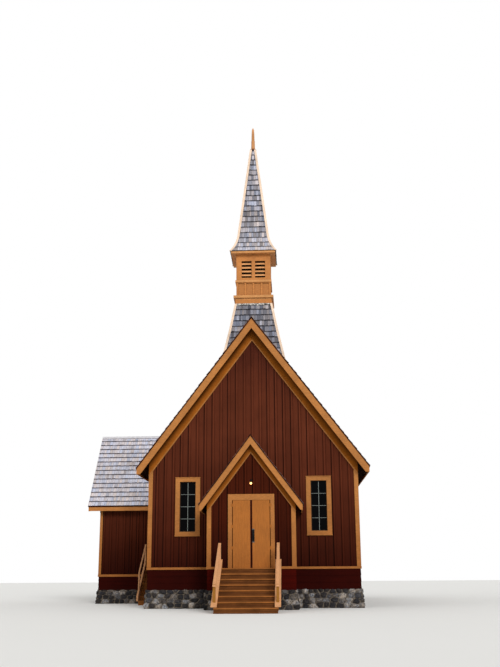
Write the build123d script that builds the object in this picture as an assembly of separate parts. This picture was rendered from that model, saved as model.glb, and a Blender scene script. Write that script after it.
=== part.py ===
from build123d import *
import math
import os

os.makedirs("parts", exist_ok=True)

# Small timber chapel with a steeple, an entrance vestibule and one side wing.
# Units are millimetres. X runs to the right seen from the front, Y runs into
# the building and Z is up. The origin lies on the ground under the middle of
# the nave's front wall.

# Main body
NAVE_WIDTH = 7920.0
NAVE_LENGTH = 15240.0
WALL = 150.0
FLOOR_TOP = 1420.0
FLOOR_THICK = 180.0
PASSAGE_WIDTH = 1830.0
PASSAGE_HEIGHT = 2300.0

# Stone foundation
FOUNDATION_TOP = 660.0
FOUNDATION_PROUD = 40.0
FOUNDATION_THICK = 340.0

# Roofs: rise over run, and depths measured plumb
PITCH = 4.0 / 3.0
NAVE_RIDGE = 11010.0
NAVE_ROOF_DEPTH = 230.0
SHINGLE_DEPTH = 45.0
SHINGLE_LAP = 20.0
SIDE_OVERHANG = 440.0
END_OVERHANG = 490.0
EAVE_BOARD = 40.0
EAVE_BOARD_HEIGHT = 200.0
RIDGE_CAP_LEG = 140.0
RIDGE_CAP_THICK = 25.0
VALLEY_RUN_ON = 400.0

# Rake boards
FASCIA_THICK = 40.0
FASCIA_DEPTH = 390.0
TIP_PLUMB_CUT = 200.0
FRIEZE_THICK = 35.0
FRIEZE_DEPTH = 610.0

# Entrance vestibule
VEST_WIDTH = 3130.0
VEST_DEPTH = 1630.0
VEST_RIDGE_OVER_DOOR = 2320.0
VEST_ROOF_DEPTH = 165.0
VEST_SHINGLE_DEPTH = 35.0
VEST_FASCIA_DEPTH = 305.0
VEST_SIDE_OVERHANG = 285.0
VEST_END_OVERHANG = 350.0
VEST_FRIEZE_DEPTH = 460.0

# Side wing on the left
WING_FRONT = 6370.0
WING_WIDTH = 4270.0
WING_REACH = 3180.0
WING_RIDGE = 7660.0
WING_FOUNDATION_TOP = 570.0
WING_OPENING_WIDTH = 2400.0
WING_WINDOW_DROP = 450.0

# Trim
TRIM_THICK = 35.0
CORNER_BOARD = 125.0
WATER_TABLE_BOTTOM = 1390.0
WATER_TABLE_HEIGHT = 85.0
WATER_TABLE_PROUD = 45.0
WING_TABLE_BOTTOM = 1140.0
WING_TABLE_HEIGHT = 100.0

# Windows
WINDOW_X = 2488.0
WINDOW_WIDTH = 600.0
WINDOW_SILL = 2772.0
WINDOW_HEIGHT = 1866.0
WINDOW_CASING = 172.0
CASING_END_LAP = 10.0
HEAD_CAP_PROUD = 60.0
HEAD_CAP_HEIGHT = 25.0
SILL_PROUD = 55.0
SILL_HEIGHT = 45.0
SASH_STILE = 24.0
SASH_DEPTH = 40.0
SASH_SETBACK = 45.0
GLASS_THICK = 6.0
SIDE_WINDOW_COUNT = 4
SIDE_WINDOW_SPACING = 3400.0

# Entrance doors
DOOR_OPENING = 1340.0
DOOR_HEIGHT = 2380.0
DOOR_THICK = 45.0
DOOR_PROUD = 25.0
DOOR_SIDE_GAP = 6.0
DOOR_END_GAP = 10.0
DOOR_MEETING_GAP = 16.0
DOOR_CASING = 148.0
DOOR_HEAD_CASING = 214.0
DOOR_CASING_REVEAL = 20.0
DOOR_REBATE = 18.0
HINGE_RADIUS = 10.0
HINGE_LENGTH = 110.0
HINGE_KNUCKLE = 50.0
HINGE_PLAY = 0.3
HINGE_PLATE = 3.0
HINGE_PIN_ASIDE = 2.0
HINGE_PIN_OUT = 12.0
HINGE_ROOM = 6.0
LEAF_PLATE_WIDTH = 74.0
FRAME_PLATE_WIDTH = 50.0
HINGE_HEIGHTS = (700.0, 1450.0, 2200.0)

# Pull handle and lamp
HANDLE_HEIGHT = 1125.0
HANDLE_EDGE = 46.0
HANDLE_PLATE_HALF = 44.0
HANDLE_PLATE_HEIGHT = 480.0
HANDLE_PLATE_THICK = 6.0
GRIP_LENGTH = 300.0
GRIP_REACH = 66.0
GRIP_RADIUS = 13.0
GRIP_SINK = 3.0
LAMP_HEIGHT = 4500.0
LAMP_REACH = 110.0
LAMP_PLATE_RADIUS = 45.0
LAMP_PLATE_THICK = 16.0
LAMP_ARM_RADIUS = 12.0
LAMP_SOCKET_RADIUS = 24.0
LAMP_SOCKET_HEIGHT = 90.0
LAMP_DROP = 40.0
BULB_RADIUS = 42.0
BULB_DROP = 70.0

# Front stair
RISER_COUNT = 8
TREAD_RUN = 290.0
TREAD_THICK = 45.0
NOSING = 25.0
RISER_THICK = 25.0
STAIR_X = -62.0
STAIR_CLEAR = 1856.0
LANDING_DEPTH = 950.0
STRINGER_THICK = 90.0
STRINGER_DEPTH = 350.0
CAP_WIDTH = 200.0
CAP_THICK = 40.0
HANDRAIL_WIDTH = 100.0
HANDRAIL_THICK = 45.0
HANDRAIL_RISE = 560.0
POST = 90.0
FIRST_STEP_LAP = 20.0
LANDING_BEAM = 240.0
RAIL_FOOT = 30.0
RAIL_END_GAP = 520.0
HANDRAIL_FOOT = 120.0
LOWER_POST = 170.0

# Side stair
SIDE_STAIR_WIDTH = 900.0
SIDE_STAIR_GAP = 45.0
SIDE_TREAD_RUN = 235.0
SIDE_LANDING = 850.0
SIDE_DOOR_WIDTH = 760.0
SIDE_DOOR_HEIGHT = 2080.0
SIDE_DOOR_THICK = 45.0
SIDE_DOOR_SETBACK = 20.0
SIDE_STRINGER_THICK = 45.0
SIDE_STRINGER_LAP = 400.0
SIDE_RAIL_WIDTH = 60.0
SIDE_RAIL_RISE = 940.0
SIDE_RAIL_RUN_ON = 200.0
SIDE_RAIL_FOOT = 250.0
SIDE_GUARD = 200.0
SIDE_GUARD_THICK = 75.0
SIDE_POST_DROP = 100.0

# Steeple
STEEPLE_Y = 2570.0
BASE_TOP_HALF = 750.0
BASE_RISE = 1210.0
BASE_BEND_RISE = 50.0
BASE_MID_HALF = 980.0
BASE_FLARE = 0.216
BASE_WALL = 120.0
BASE_TUCK = 600.0
HIP_BOARD = 50.0
HIP_THICK = 45.0
BELFRY_HALF = 730.0
BELFRY_WALL = 90.0
BELFRY_HEIGHT = 2216.0
PLINTH_HEIGHT = 243.0
PLINTH_PROUD = 37.0
LOWER_BAND_HEIGHT = 111.0
LOWER_BAND_PROUD = 115.0
PANEL_FOOT = 380.0
PANEL_HEIGHT = 540.0
PANEL_COUNT = 4
PANEL_STILE = 70.0
PANEL_SINK = 40.0
UPPER_BAND_FOOT = 956.0
UPPER_BAND_HEIGHT = 101.0
UPPER_BAND_PROUD = 40.0
LOUVRE_FOOT = 1166.0
LOUVRE_HEIGHT = 752.0
LOUVRE_WIDTH = 430.0
LOUVRE_MULLION = 146.0
SLAT_COUNT = 4
SLAT_PITCH = 170.0
SLAT_FOOT_GAP = 68.0
SLAT_DEPTH = 185.0
SLAT_THICK = 16.0
SLAT_ANGLE = 45.0
SLAT_SETBACK = 5.0
LOUVRE_BOX_SIDE = 10.0
LOUVRE_BOX_BACK = 6.0
LOUVRE_BOX_BITE = 2.0
SPIRE_EAVE_THICK = 93.0
SPIRE_EAVE_HALF = 947.0
SPIRE_FOOT_HALF = 965.0
SPIRE_SWEEP = 821.0
SPIRE_HEIGHT = 5148.0
SPIRE_TOP_HALF = 96.0
SPIRE_TAPER = 0.1248
SWEEP_MID = 0.45
SWEEP_BOW = 0.38
FINIAL_HEIGHT = 1158.0
FINIAL_PROFILE = ((150.0, 0.0), (150.0, 35.0), (95.0, 60.0), (85.0, 110.0), (78.0, 420.0),
                  (84.0, 450.0), (70.0, 480.0), (62.0, 800.0), (48.0, 1040.0))

NAVE_HALF = NAVE_WIDTH / 2
VEST_HALF = VEST_WIDTH / 2
WING_HALF = WING_WIDTH / 2
WING_CENTRE = WING_FRONT + WING_HALF
WING_REAR = WING_FRONT + WING_WIDTH
WING_END = -NAVE_HALF - WING_REACH
DOOR_TOP = FLOOR_TOP + DOOR_HEIGHT
VEST_RIDGE = DOOR_TOP + VEST_RIDGE_OVER_DOOR
PASSAGE_TOP = FLOOR_TOP + PASSAGE_HEIGHT
RISER = FLOOR_TOP / RISER_COUNT
FRIEZE_LINE = NAVE_RIDGE - NAVE_ROOF_DEPTH - FRIEZE_DEPTH
VEST_FRIEZE_LINE = VEST_RIDGE - VEST_ROOF_DEPTH - VEST_FRIEZE_DEPTH
BASE_MID_HEIGHT = NAVE_RIDGE + BASE_BEND_RISE
BASE_TOP = BASE_MID_HEIGHT + BASE_RISE
LOUVRE_BOTTOM = BASE_TOP + LOUVRE_FOOT
SPIRE_EAVE_BOTTOM = BASE_TOP + BELFRY_HEIGHT
SPIRE_EAVE_TOP = SPIRE_EAVE_BOTTOM + SPIRE_EAVE_THICK
SPIRE_SWEEP_HEIGHT = SPIRE_EAVE_TOP + SPIRE_SWEEP
SPIRE_TOP = SPIRE_EAVE_TOP + SPIRE_HEIGHT
BEYOND = 9000.0


def block(x0, x1, y0, y1, z0, z1):
    """A box between two corners."""
    size = Box(x1 - x0, y1 - y0, z1 - z0)
    return Pos((x0 + x1) / 2, (y0 + y1) / 2, (z0 + z1) / 2) * size


def along_y(outline, y0, y1):
    """An outline of (x, z) points carried from y0 to y1."""
    wire = Polyline([(x, y0, z) for x, z in outline], close=True)
    return extrude(make_face(wire), amount=y1 - y0, dir=(0, 1, 0))


def along_x(outline, x0, x1):
    """An outline of (y, z) points carried from x0 to x1."""
    wire = Polyline([(x0, y, z) for y, z in outline], close=True)
    return extrude(make_face(wire), amount=x1 - x0, dir=(1, 0, 0))


def mirrored(outline):
    """The outline turned over to the other side of its centre line."""
    return [(-a, z) for a, z in reversed(outline)]


def shifted(outline, offset):
    """The outline moved along its first axis."""
    return [(a + offset, z) for a, z in outline]


def group(solids):
    """Several solids in one node."""
    return Compound(children=[piece for solid in solids for piece in solid.solids()])


def under_roof(ridge, depth, offset):
    """Height of a roof's underside at a distance from its ridge."""
    return ridge - depth - PITCH * abs(offset)


def nave_soffit(x):
    return under_roof(NAVE_RIDGE, NAVE_ROOF_DEPTH, x)


def vest_soffit(x):
    return under_roof(VEST_RIDGE, VEST_ROOF_DEPTH, x)


def wing_soffit(y):
    return under_roof(WING_RIDGE, NAVE_ROOF_DEPTH, y - WING_CENTRE)


# Stone foundation: one mass of masonry, a ring under every outer wall
def plan(kind, grow, z0, z1):
    """A footprint grown by an amount: the nave, the vestibule or the wing."""
    if kind == "nave":
        return block(-NAVE_HALF - grow, NAVE_HALF + grow, -grow, NAVE_LENGTH + grow, z0, z1)
    if kind == "vestibule":
        return block(-VEST_HALF - grow, VEST_HALF + grow, -VEST_DEPTH - grow, 0, z0, z1)
    return block(WING_END - grow, -NAVE_HALF, WING_FRONT - grow, WING_REAR + grow, z0, z1)


def foundation():
    grow = FOUNDATION_PROUD
    inset = FOUNDATION_PROUD - FOUNDATION_THICK
    mass = plan("nave", grow, 0, FOUNDATION_TOP) + plan("vestibule", grow, 0, FOUNDATION_TOP)
    mass += plan("wing", grow, 0, WING_FOUNDATION_TOP)
    mass -= plan("nave", inset, 0, FOUNDATION_TOP)
    mass -= block(-VEST_HALF - inset, VEST_HALF + inset, -VEST_DEPTH - inset, -grow, 0, FOUNDATION_TOP)
    mass -= block(WING_END - inset, -NAVE_HALF - grow, WING_FRONT - inset, WING_REAR + inset,
                  0, WING_FOUNDATION_TOP)
    return mass


def main_floor():
    z0 = FLOOR_TOP - FLOOR_THICK
    slab = block(-NAVE_HALF + WALL, NAVE_HALF - WALL, WALL, NAVE_LENGTH - WALL, z0, FLOOR_TOP)
    slab += block(-VEST_HALF + WALL, VEST_HALF - WALL, -VEST_DEPTH + WALL, 0, z0, FLOOR_TOP)
    slab += block(-DOOR_OPENING / 2, DOOR_OPENING / 2, -VEST_DEPTH, -VEST_DEPTH + WALL, z0, FLOOR_TOP)
    slab += block(-PASSAGE_WIDTH / 2, PASSAGE_WIDTH / 2, 0, WALL, z0, FLOOR_TOP)
    half = WING_OPENING_WIDTH / 2
    slab += block(-NAVE_HALF, -NAVE_HALF + WALL, WING_CENTRE - half, WING_CENTRE + half, z0, FLOOR_TOP)
    slab += block(WING_END + WALL, -NAVE_HALF, WING_FRONT + WALL, WING_REAR - WALL, z0, FLOOR_TOP)
    slab += side_door_hole(WALL, z0, FLOOR_TOP)
    return slab


# Windows, drawn in a frame of their own: x along the wall, y into it from its face
def window_hole(depth):
    return block(-WINDOW_WIDTH / 2, WINDOW_WIDTH / 2, -depth, WALL + depth,
                 WINDOW_SILL, WINDOW_SILL + WINDOW_HEIGHT)


def window_casing():
    half = WINDOW_WIDTH / 2 + WINDOW_CASING
    wide = half + CASING_END_LAP
    low = WINDOW_SILL - WINDOW_CASING
    top = WINDOW_SILL + WINDOW_HEIGHT + WINDOW_CASING
    frame = block(-half, half, -TRIM_THICK, 0, low, top)
    frame -= window_hole(WALL)
    frame += block(-wide, wide, -HEAD_CAP_PROUD, 0, top - HEAD_CAP_HEIGHT, top)
    frame += block(-wide, wide, -SILL_PROUD, 0, low, low + SILL_HEIGHT)
    return frame


def window_sash():
    half = WINDOW_WIDTH / 2
    top = WINDOW_SILL + WINDOW_HEIGHT
    y1 = SASH_SETBACK + SASH_DEPTH
    frame = block(-half, half, SASH_SETBACK, y1, WINDOW_SILL, top)
    return frame - block(-half + SASH_STILE, half - SASH_STILE, 0, WALL,
                         WINDOW_SILL + SASH_STILE, top - SASH_STILE)


def window_glass():
    half = WINDOW_WIDTH / 2 - SASH_STILE
    y0 = SASH_SETBACK + (SASH_DEPTH - GLASS_THICK) / 2
    return block(-half, half, y0, y0 + GLASS_THICK, WINDOW_SILL + SASH_STILE,
                 WINDOW_SILL + WINDOW_HEIGHT - SASH_STILE)


def side_window_stations():
    first = (NAVE_LENGTH - (SIDE_WINDOW_COUNT - 1) * SIDE_WINDOW_SPACING) / 2
    return [first + i * SIDE_WINDOW_SPACING for i in range(SIDE_WINDOW_COUNT)]


def window_places():
    """Every window's place on its wall, by wall."""
    stations = side_window_stations()
    return {
        "front_left": [Pos(-WINDOW_X, 0, 0)],
        "front_right": [Pos(WINDOW_X, 0, 0)],
        "rear": [Pos(x, NAVE_LENGTH, 0) * Rot(0, 0, 180) for x in (-WINDOW_X, WINDOW_X)],
        "right": [Pos(NAVE_HALF, y, 0) * Rot(0, 0, 90) for y in stations],
        "left_front": [Pos(-NAVE_HALF, stations[0], 0) * Rot(0, 0, -90)],
        "left_rear": [Pos(-NAVE_HALF, stations[-1], 0) * Rot(0, 0, -90)],
        "wing_end": [Pos(WING_END, WING_CENTRE, -WING_WINDOW_DROP) * Rot(0, 0, -90)],
        "wing_rear": [Pos(-NAVE_HALF - WING_REACH / 2, WING_REAR, -WING_WINDOW_DROP) * Rot(0, 0, 180)],
    }


def cut_windows(wall, places):
    for place in places:
        wall -= place * window_hole(WALL)
    return wall


# Walls of the nave
def front_wall_side(side, places):
    inner = PASSAGE_WIDTH / 2
    outline = [(inner, FOUNDATION_TOP), (NAVE_HALF, FOUNDATION_TOP),
               (NAVE_HALF, nave_soffit(NAVE_HALF)), (inner, nave_soffit(inner))]
    if side < 0:
        outline = mirrored(outline)
    return cut_windows(along_y(outline, 0, WALL), places)


def front_wall_over_passage():
    half = PASSAGE_WIDTH / 2
    outline = [(-half, PASSAGE_TOP), (half, PASSAGE_TOP), (half, nave_soffit(half)),
               (0, nave_soffit(0)), (-half, nave_soffit(half))]
    return along_y(outline, 0, WALL)


def rear_wall(places):
    outline = [(-NAVE_HALF, FOUNDATION_TOP), (NAVE_HALF, FOUNDATION_TOP),
               (NAVE_HALF, nave_soffit(NAVE_HALF)), (0, nave_soffit(0)),
               (-NAVE_HALF, nave_soffit(NAVE_HALF))]
    return cut_windows(along_y(outline, NAVE_LENGTH - WALL, NAVE_LENGTH), places)


def nave_side_wall(side, y0, y1, z0, places):
    inner = NAVE_HALF - WALL
    outline = [(inner, z0), (NAVE_HALF, z0), (NAVE_HALF, nave_soffit(NAVE_HALF)),
               (inner, nave_soffit(inner))]
    if side < 0:
        outline = mirrored(outline)
    return cut_windows(along_y(outline, y0, y1), places)


# Walls of the vestibule
def vestibule_side_walls():
    inner = VEST_HALF - WALL
    outline = [(inner, FOUNDATION_TOP), (VEST_HALF, FOUNDATION_TOP),
               (VEST_HALF, vest_soffit(VEST_HALF)), (inner, vest_soffit(inner))]
    return group([along_y(shape, -VEST_DEPTH + WALL, 0) for shape in (outline, mirrored(outline))])


def vestibule_front_walls():
    inner = DOOR_OPENING / 2
    outline = [(inner, FOUNDATION_TOP), (VEST_HALF, FOUNDATION_TOP),
               (VEST_HALF, vest_soffit(VEST_HALF)), (inner, vest_soffit(inner))]
    y1 = -VEST_DEPTH + WALL
    return group([along_y(shape, -VEST_DEPTH, y1) for shape in (outline, mirrored(outline))])


def vestibule_wall_over_door():
    half = DOOR_OPENING / 2
    outline = [(-half, DOOR_TOP), (half, DOOR_TOP), (half, vest_soffit(half)),
               (0, vest_soffit(0)), (-half, vest_soffit(half))]
    return along_y(outline, -VEST_DEPTH, -VEST_DEPTH + WALL)


# Walls of the wing
def side_door_hole(depth, z0, z1):
    x = side_stair_centre()
    half = SIDE_DOOR_WIDTH / 2
    return block(x - half, x + half, WING_FRONT, WING_FRONT + depth, z0, z1)


def side_stair_centre():
    return -NAVE_HALF - FOUNDATION_PROUD - SIDE_STAIR_GAP - SIDE_STAIR_WIDTH / 2


def wing_long_wall(y0, y1):
    outline = [(y0, WING_FOUNDATION_TOP), (y1, WING_FOUNDATION_TOP),
               (y1, wing_soffit(y1)), (y0, wing_soffit(y0))]
    return along_x(outline, WING_END, -NAVE_HALF) - plan("nave", FOUNDATION_PROUD, 0, FOUNDATION_TOP)


def wing_front_wall():
    wall = wing_long_wall(WING_FRONT, WING_FRONT + WALL)
    return wall - side_door_hole(WALL, FLOOR_TOP - FLOOR_THICK, FLOOR_TOP + SIDE_DOOR_HEIGHT)


def wing_end_wall(places):
    y0 = WING_FRONT + WALL
    y1 = WING_REAR - WALL
    outline = [(y0, WING_FOUNDATION_TOP), (y1, WING_FOUNDATION_TOP), (y1, wing_soffit(y1)),
               (WING_CENTRE, wing_soffit(WING_CENTRE)), (y0, wing_soffit(y0))]
    return cut_windows(along_x(outline, WING_END, WING_END + WALL), places)


# Roofs: a deck, and the shingle courses that lap over its edges
def half_roof(ridge, depth, cover, reach):
    """Outlines of one slope's deck and of its shingles, ridge at zero."""
    deck_edge = reach - EAVE_BOARD
    deck = [(0, ridge - cover), (0, ridge - depth),
            (deck_edge, ridge - depth - PITCH * deck_edge),
            (deck_edge, ridge - cover - PITCH * deck_edge)]
    lap = reach + SHINGLE_LAP
    shingles = [(0, ridge), (0, ridge - cover), (lap, ridge - cover - PITCH * lap),
                (lap, ridge - PITCH * lap)]
    return deck, shingles


def nave_roof(side):
    deck, shingles = half_roof(NAVE_RIDGE, NAVE_ROOF_DEPTH, SHINGLE_DEPTH, NAVE_HALF + SIDE_OVERHANG)
    if side < 0:
        deck, shingles = mirrored(deck), mirrored(shingles)
    inset = END_OVERHANG - FASCIA_THICK
    lap = END_OVERHANG + SHINGLE_LAP
    return along_y(deck, -inset, NAVE_LENGTH + inset) + along_y(shingles, -lap, NAVE_LENGTH + lap)


def vestibule_roof():
    deck, shingles = half_roof(VEST_RIDGE, VEST_ROOF_DEPTH, VEST_SHINGLE_DEPTH,
                               VEST_HALF + VEST_SIDE_OVERHANG)
    front = -VEST_DEPTH - VEST_END_OVERHANG
    shape = None
    for flip in (False, True):
        edges = (mirrored(deck), mirrored(shingles)) if flip else (deck, shingles)
        piece = along_y(edges[0], front + FASCIA_THICK, 0) + along_y(edges[1], front - SHINGLE_LAP, 0)
        shape = piece if shape is None else shape + piece
    return shape


def wing_roof():
    """Two slopes that die into the nave's left slope along its valleys."""
    deck, shingles = half_roof(WING_RIDGE, NAVE_ROOF_DEPTH, SHINGLE_DEPTH, WING_HALF + SIDE_OVERHANG)
    end = WING_END - END_OVERHANG
    shape = None
    for flip in (False, True):
        edges = (mirrored(deck), mirrored(shingles)) if flip else (deck, shingles)
        piece = along_x(shifted(edges[0], WING_CENTRE), end + FASCIA_THICK, 0)
        piece += along_x(shifted(edges[1], WING_CENTRE), end - SHINGLE_LAP, 0)
        shape = piece if shape is None else shape + piece
    lap = NAVE_HALF + SIDE_OVERHANG + SHINGLE_LAP
    outer = nave_soffit(lap)
    nave_mass = [(0, 0), (0, NAVE_RIDGE), (-lap, NAVE_RIDGE - PITCH * lap), (-lap, outer),
                 (-NAVE_HALF, nave_soffit(NAVE_HALF)), (-NAVE_HALF, 0)]
    nave_eave = mirrored(eave_board(NAVE_RIDGE, SHINGLE_DEPTH, NAVE_HALF + SIDE_OVERHANG))
    return shape - along_y(nave_mass, 0, NAVE_LENGTH) - along_y(nave_eave, 0, NAVE_LENGTH)


def ridge_cap(ridge):
    """Outline of a two-board cap over a ridge."""
    run = RIDGE_CAP_LEG * math.cos(math.atan(PITCH))
    plumb = RIDGE_CAP_THICK / math.cos(math.atan(PITCH))
    return [(0, ridge), (run, ridge - PITCH * run), (run, ridge + plumb - PITCH * run),
            (0, ridge + plumb), (-run, ridge + plumb - PITCH * run), (-run, ridge - PITCH * run)]


def ridge_caps():
    lap = END_OVERHANG + SHINGLE_LAP
    nave = along_y(ridge_cap(NAVE_RIDGE), -lap, NAVE_LENGTH + lap)
    nave -= steeple_mass(base_half(0))
    vest = along_y(ridge_cap(VEST_RIDGE), -VEST_DEPTH - VEST_END_OVERHANG - SHINGLE_LAP, 0)
    meet = (NAVE_RIDGE - WING_RIDGE) / PITCH
    wing = along_x(shifted(ridge_cap(WING_RIDGE), WING_CENTRE), WING_END - lap, -meet + VALLEY_RUN_ON)
    roof = [(0, 0), (0, NAVE_RIDGE), (-2 * NAVE_HALF, NAVE_RIDGE - PITCH * 2 * NAVE_HALF),
            (-2 * NAVE_HALF, 0)]
    wing -= along_y(roof, 0, NAVE_LENGTH)
    return group([nave, vest, wing])


# Rake boards along the gables
def rake_pair(top, depth, reach):
    """Outline of one mitred pair of rake boards with plumb and level cuts at the tips."""
    tip_top = top - PITCH * reach
    tip_low = tip_top - TIP_PLUMB_CUT
    back = (top - depth - tip_low) / PITCH
    return [(0, top), (reach, tip_top), (reach, tip_low), (back, tip_low), (0, top - depth),
            (-back, tip_low), (-reach, tip_low), (-reach, tip_top)]


def rake_fascias():
    nave = rake_pair(NAVE_RIDGE - SHINGLE_DEPTH, FASCIA_DEPTH, NAVE_HALF + SIDE_OVERHANG)
    vest = rake_pair(VEST_RIDGE - VEST_SHINGLE_DEPTH, VEST_FASCIA_DEPTH, VEST_HALF + VEST_SIDE_OVERHANG)
    wing = rake_pair(WING_RIDGE - SHINGLE_DEPTH, FASCIA_DEPTH, WING_HALF + SIDE_OVERHANG)
    rear = NAVE_LENGTH + END_OVERHANG
    vest_front = -VEST_DEPTH - VEST_END_OVERHANG
    end = WING_END - END_OVERHANG
    return group([
        along_y(nave, -END_OVERHANG, -END_OVERHANG + FASCIA_THICK),
        along_y(nave, rear - FASCIA_THICK, rear),
        along_y(vest, vest_front, vest_front + FASCIA_THICK),
        along_x(shifted(wing, WING_CENTRE), end, end + FASCIA_THICK),
    ])


def frieze(soffit_top, line, half):
    """Outline of the boards on a gable wall between the soffit and a lower line."""
    return [(0, soffit_top), (half, soffit_top - PITCH * half), (half, line - PITCH * half),
            (0, line), (-half, line - PITCH * half), (-half, soffit_top - PITCH * half)]


def rake_friezes():
    nave = frieze(nave_soffit(0), FRIEZE_LINE, NAVE_HALF + FRIEZE_THICK)
    vest = frieze(vest_soffit(0), VEST_FRIEZE_LINE, VEST_HALF + FRIEZE_THICK)
    drop = nave_soffit(0) - FRIEZE_LINE
    wing_top = wing_soffit(WING_CENTRE)
    wing = frieze(wing_top, wing_top - drop, WING_HALF + FRIEZE_THICK)
    return group([
        along_y(nave, -FRIEZE_THICK, 0),
        along_y(nave, NAVE_LENGTH, NAVE_LENGTH + FRIEZE_THICK),
        along_y(vest, -VEST_DEPTH - FRIEZE_THICK, -VEST_DEPTH),
        along_x(shifted(wing, WING_CENTRE), WING_END - FRIEZE_THICK, WING_END),
    ])


def eave_board(ridge, cover, reach):
    """Outline of the plumb board along an eave."""
    top_outer = ridge - cover - PITCH * reach
    top_inner = ridge - cover - PITCH * (reach - EAVE_BOARD)
    low = top_outer - EAVE_BOARD_HEIGHT
    return [(reach - EAVE_BOARD, low), (reach, low), (reach, top_outer), (reach - EAVE_BOARD, top_inner)]


def eave_boards():
    inset = END_OVERHANG - FASCIA_THICK
    nave = eave_board(NAVE_RIDGE, SHINGLE_DEPTH, NAVE_HALF + SIDE_OVERHANG)
    vest = eave_board(VEST_RIDGE, VEST_SHINGLE_DEPTH, VEST_HALF + VEST_SIDE_OVERHANG)
    wing = eave_board(WING_RIDGE, SHINGLE_DEPTH, WING_HALF + SIDE_OVERHANG)
    vest_front = -VEST_DEPTH - VEST_END_OVERHANG + FASCIA_THICK
    wing_start = WING_END - inset
    pieces = [along_y(shape, -inset, NAVE_LENGTH + inset) for shape in (nave, mirrored(nave))]
    pieces += [along_y(shape, vest_front, 0) for shape in (vest, mirrored(vest))]
    pieces += [along_x(shifted(shape, WING_CENTRE), wing_start, -NAVE_HALF)
               for shape in (wing, mirrored(wing))]
    return group(pieces)


# Corner boards, water table and casings
def corner_board(x, y, sx, sy, z0, front_line, side_top):
    """An L of two boards on an outer corner; the front leg's top follows the frieze."""
    inner = abs(x) - CORNER_BOARD
    outer = abs(x) + TRIM_THICK
    front_y = y + sy * TRIM_THICK
    leg = [(inner, z0), (outer, z0), (outer, front_line - PITCH * outer), (inner, front_line - PITCH * inner)]
    if sx < 0:
        leg = mirrored(leg)
    front = along_y(leg, min(y, front_y), max(y, front_y))
    xs = sorted((x, x + sx * TRIM_THICK))
    ys = sorted((y, y - sy * (CORNER_BOARD - TRIM_THICK)))
    return front + block(xs[0], xs[1], ys[0], ys[1], z0, side_top)


def corner_boards():
    z0 = WATER_TABLE_BOTTOM + WATER_TABLE_HEIGHT
    nave_top = nave_soffit(NAVE_HALF + TRIM_THICK)
    vest_top = vest_soffit(VEST_HALF + TRIM_THICK)
    pieces = []
    for sx in (-1, 1):
        for y, sy in ((0.0, -1), (NAVE_LENGTH, 1)):
            pieces.append(corner_board(sx * NAVE_HALF, y, sx, sy, z0, FRIEZE_LINE, nave_top))
        pieces.append(corner_board(sx * VEST_HALF, -VEST_DEPTH, sx, -1, z0, VEST_FRIEZE_LINE, vest_top))
    wing_z0 = WING_TABLE_BOTTOM + WING_TABLE_HEIGHT
    line = wing_soffit(WING_CENTRE) - (nave_soffit(0) - FRIEZE_LINE)
    wing_top = wing_soffit(WING_FRONT - TRIM_THICK)
    inner = WING_HALF - CORNER_BOARD
    outer = WING_HALF + TRIM_THICK
    leg = [(inner, wing_z0), (outer, wing_z0), (outer, line - PITCH * outer), (inner, line - PITCH * inner)]
    for shape, sy in ((leg, 1), (mirrored(leg), -1)):
        end = along_x(shifted(shape, WING_CENTRE), WING_END - TRIM_THICK, WING_END)
        face = WING_CENTRE + sy * WING_HALF
        ys = sorted((face, face + sy * TRIM_THICK))
        end += block(WING_END, WING_END + CORNER_BOARD - TRIM_THICK, ys[0], ys[1], wing_z0, wing_top)
        pieces.append(end)
    return group(pieces)


def water_table():
    z0 = WATER_TABLE_BOTTOM
    z1 = z0 + WATER_TABLE_HEIGHT
    proud = WATER_TABLE_PROUD
    ring = plan("nave", proud, z0, z1) + plan("vestibule", proud, z0, z1)
    ring -= plan("nave", 0, z0, z1)
    ring -= plan("vestibule", 0, z0, z1)
    half = STAIR_CLEAR / 2 + STRINGER_THICK
    ring -= block(STAIR_X - half, STAIR_X + half, -VEST_DEPTH - proud, -VEST_DEPTH, z0, z1)
    ring -= block(-NAVE_HALF - proud, -NAVE_HALF, WING_FRONT, WING_REAR, z0, z1)
    landing_side = side_stair_centre() - SIDE_STAIR_WIDTH / 2
    ring -= block(landing_side, -NAVE_HALF, side_stair_foot(), WING_FRONT, z0, z1)
    w0 = WING_TABLE_BOTTOM
    w1 = w0 + WING_TABLE_HEIGHT
    wing = plan("wing", proud, w0, w1) - plan("wing", 0, w0, w1)
    wing -= block(landing_side, -NAVE_HALF, WING_FRONT - proud, WING_FRONT, w0, w1)
    return group([ring, wing])


def door_casing():
    inner = DOOR_OPENING / 2 + DOOR_CASING_REVEAL
    outer = inner + DOOR_CASING
    y0 = -VEST_DEPTH - TRIM_THICK
    frame = block(-outer, outer, y0, -VEST_DEPTH, FLOOR_TOP, DOOR_TOP + DOOR_HEAD_CASING)
    return frame - block(-inner, inner, y0, -VEST_DEPTH, FLOOR_TOP, DOOR_TOP)


# Entrance doors, hung at their outer edges to open outwards
def door_leaf(side):
    hinge_edge = DOOR_OPENING / 2 - DOOR_SIDE_GAP
    free_edge = DOOR_MEETING_GAP / 2
    y0 = -VEST_DEPTH - DOOR_PROUD
    z0 = FLOOR_TOP + DOOR_END_GAP
    z1 = DOOR_TOP - DOOR_SIDE_GAP
    leaf = block(free_edge, hinge_edge, y0, y0 + DOOR_THICK, z0, z1)
    leaf -= block(free_edge, free_edge + DOOR_REBATE, y0, y0 + DOOR_REBATE, z0, z1)
    return leaf if side > 0 else mirror(leaf, Plane.YZ)


def hinge_axis():
    """Distance from the middle and the y of the hinge pins."""
    return DOOR_OPENING / 2 + HINGE_PIN_ASIDE, -VEST_DEPTH - DOOR_PROUD - HINGE_PIN_OUT


def hinge_plate(x0, x1, face, middle, height):
    return block(x0, x1, face - HINGE_PLATE, face, middle - height / 2, middle + height / 2)


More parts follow.
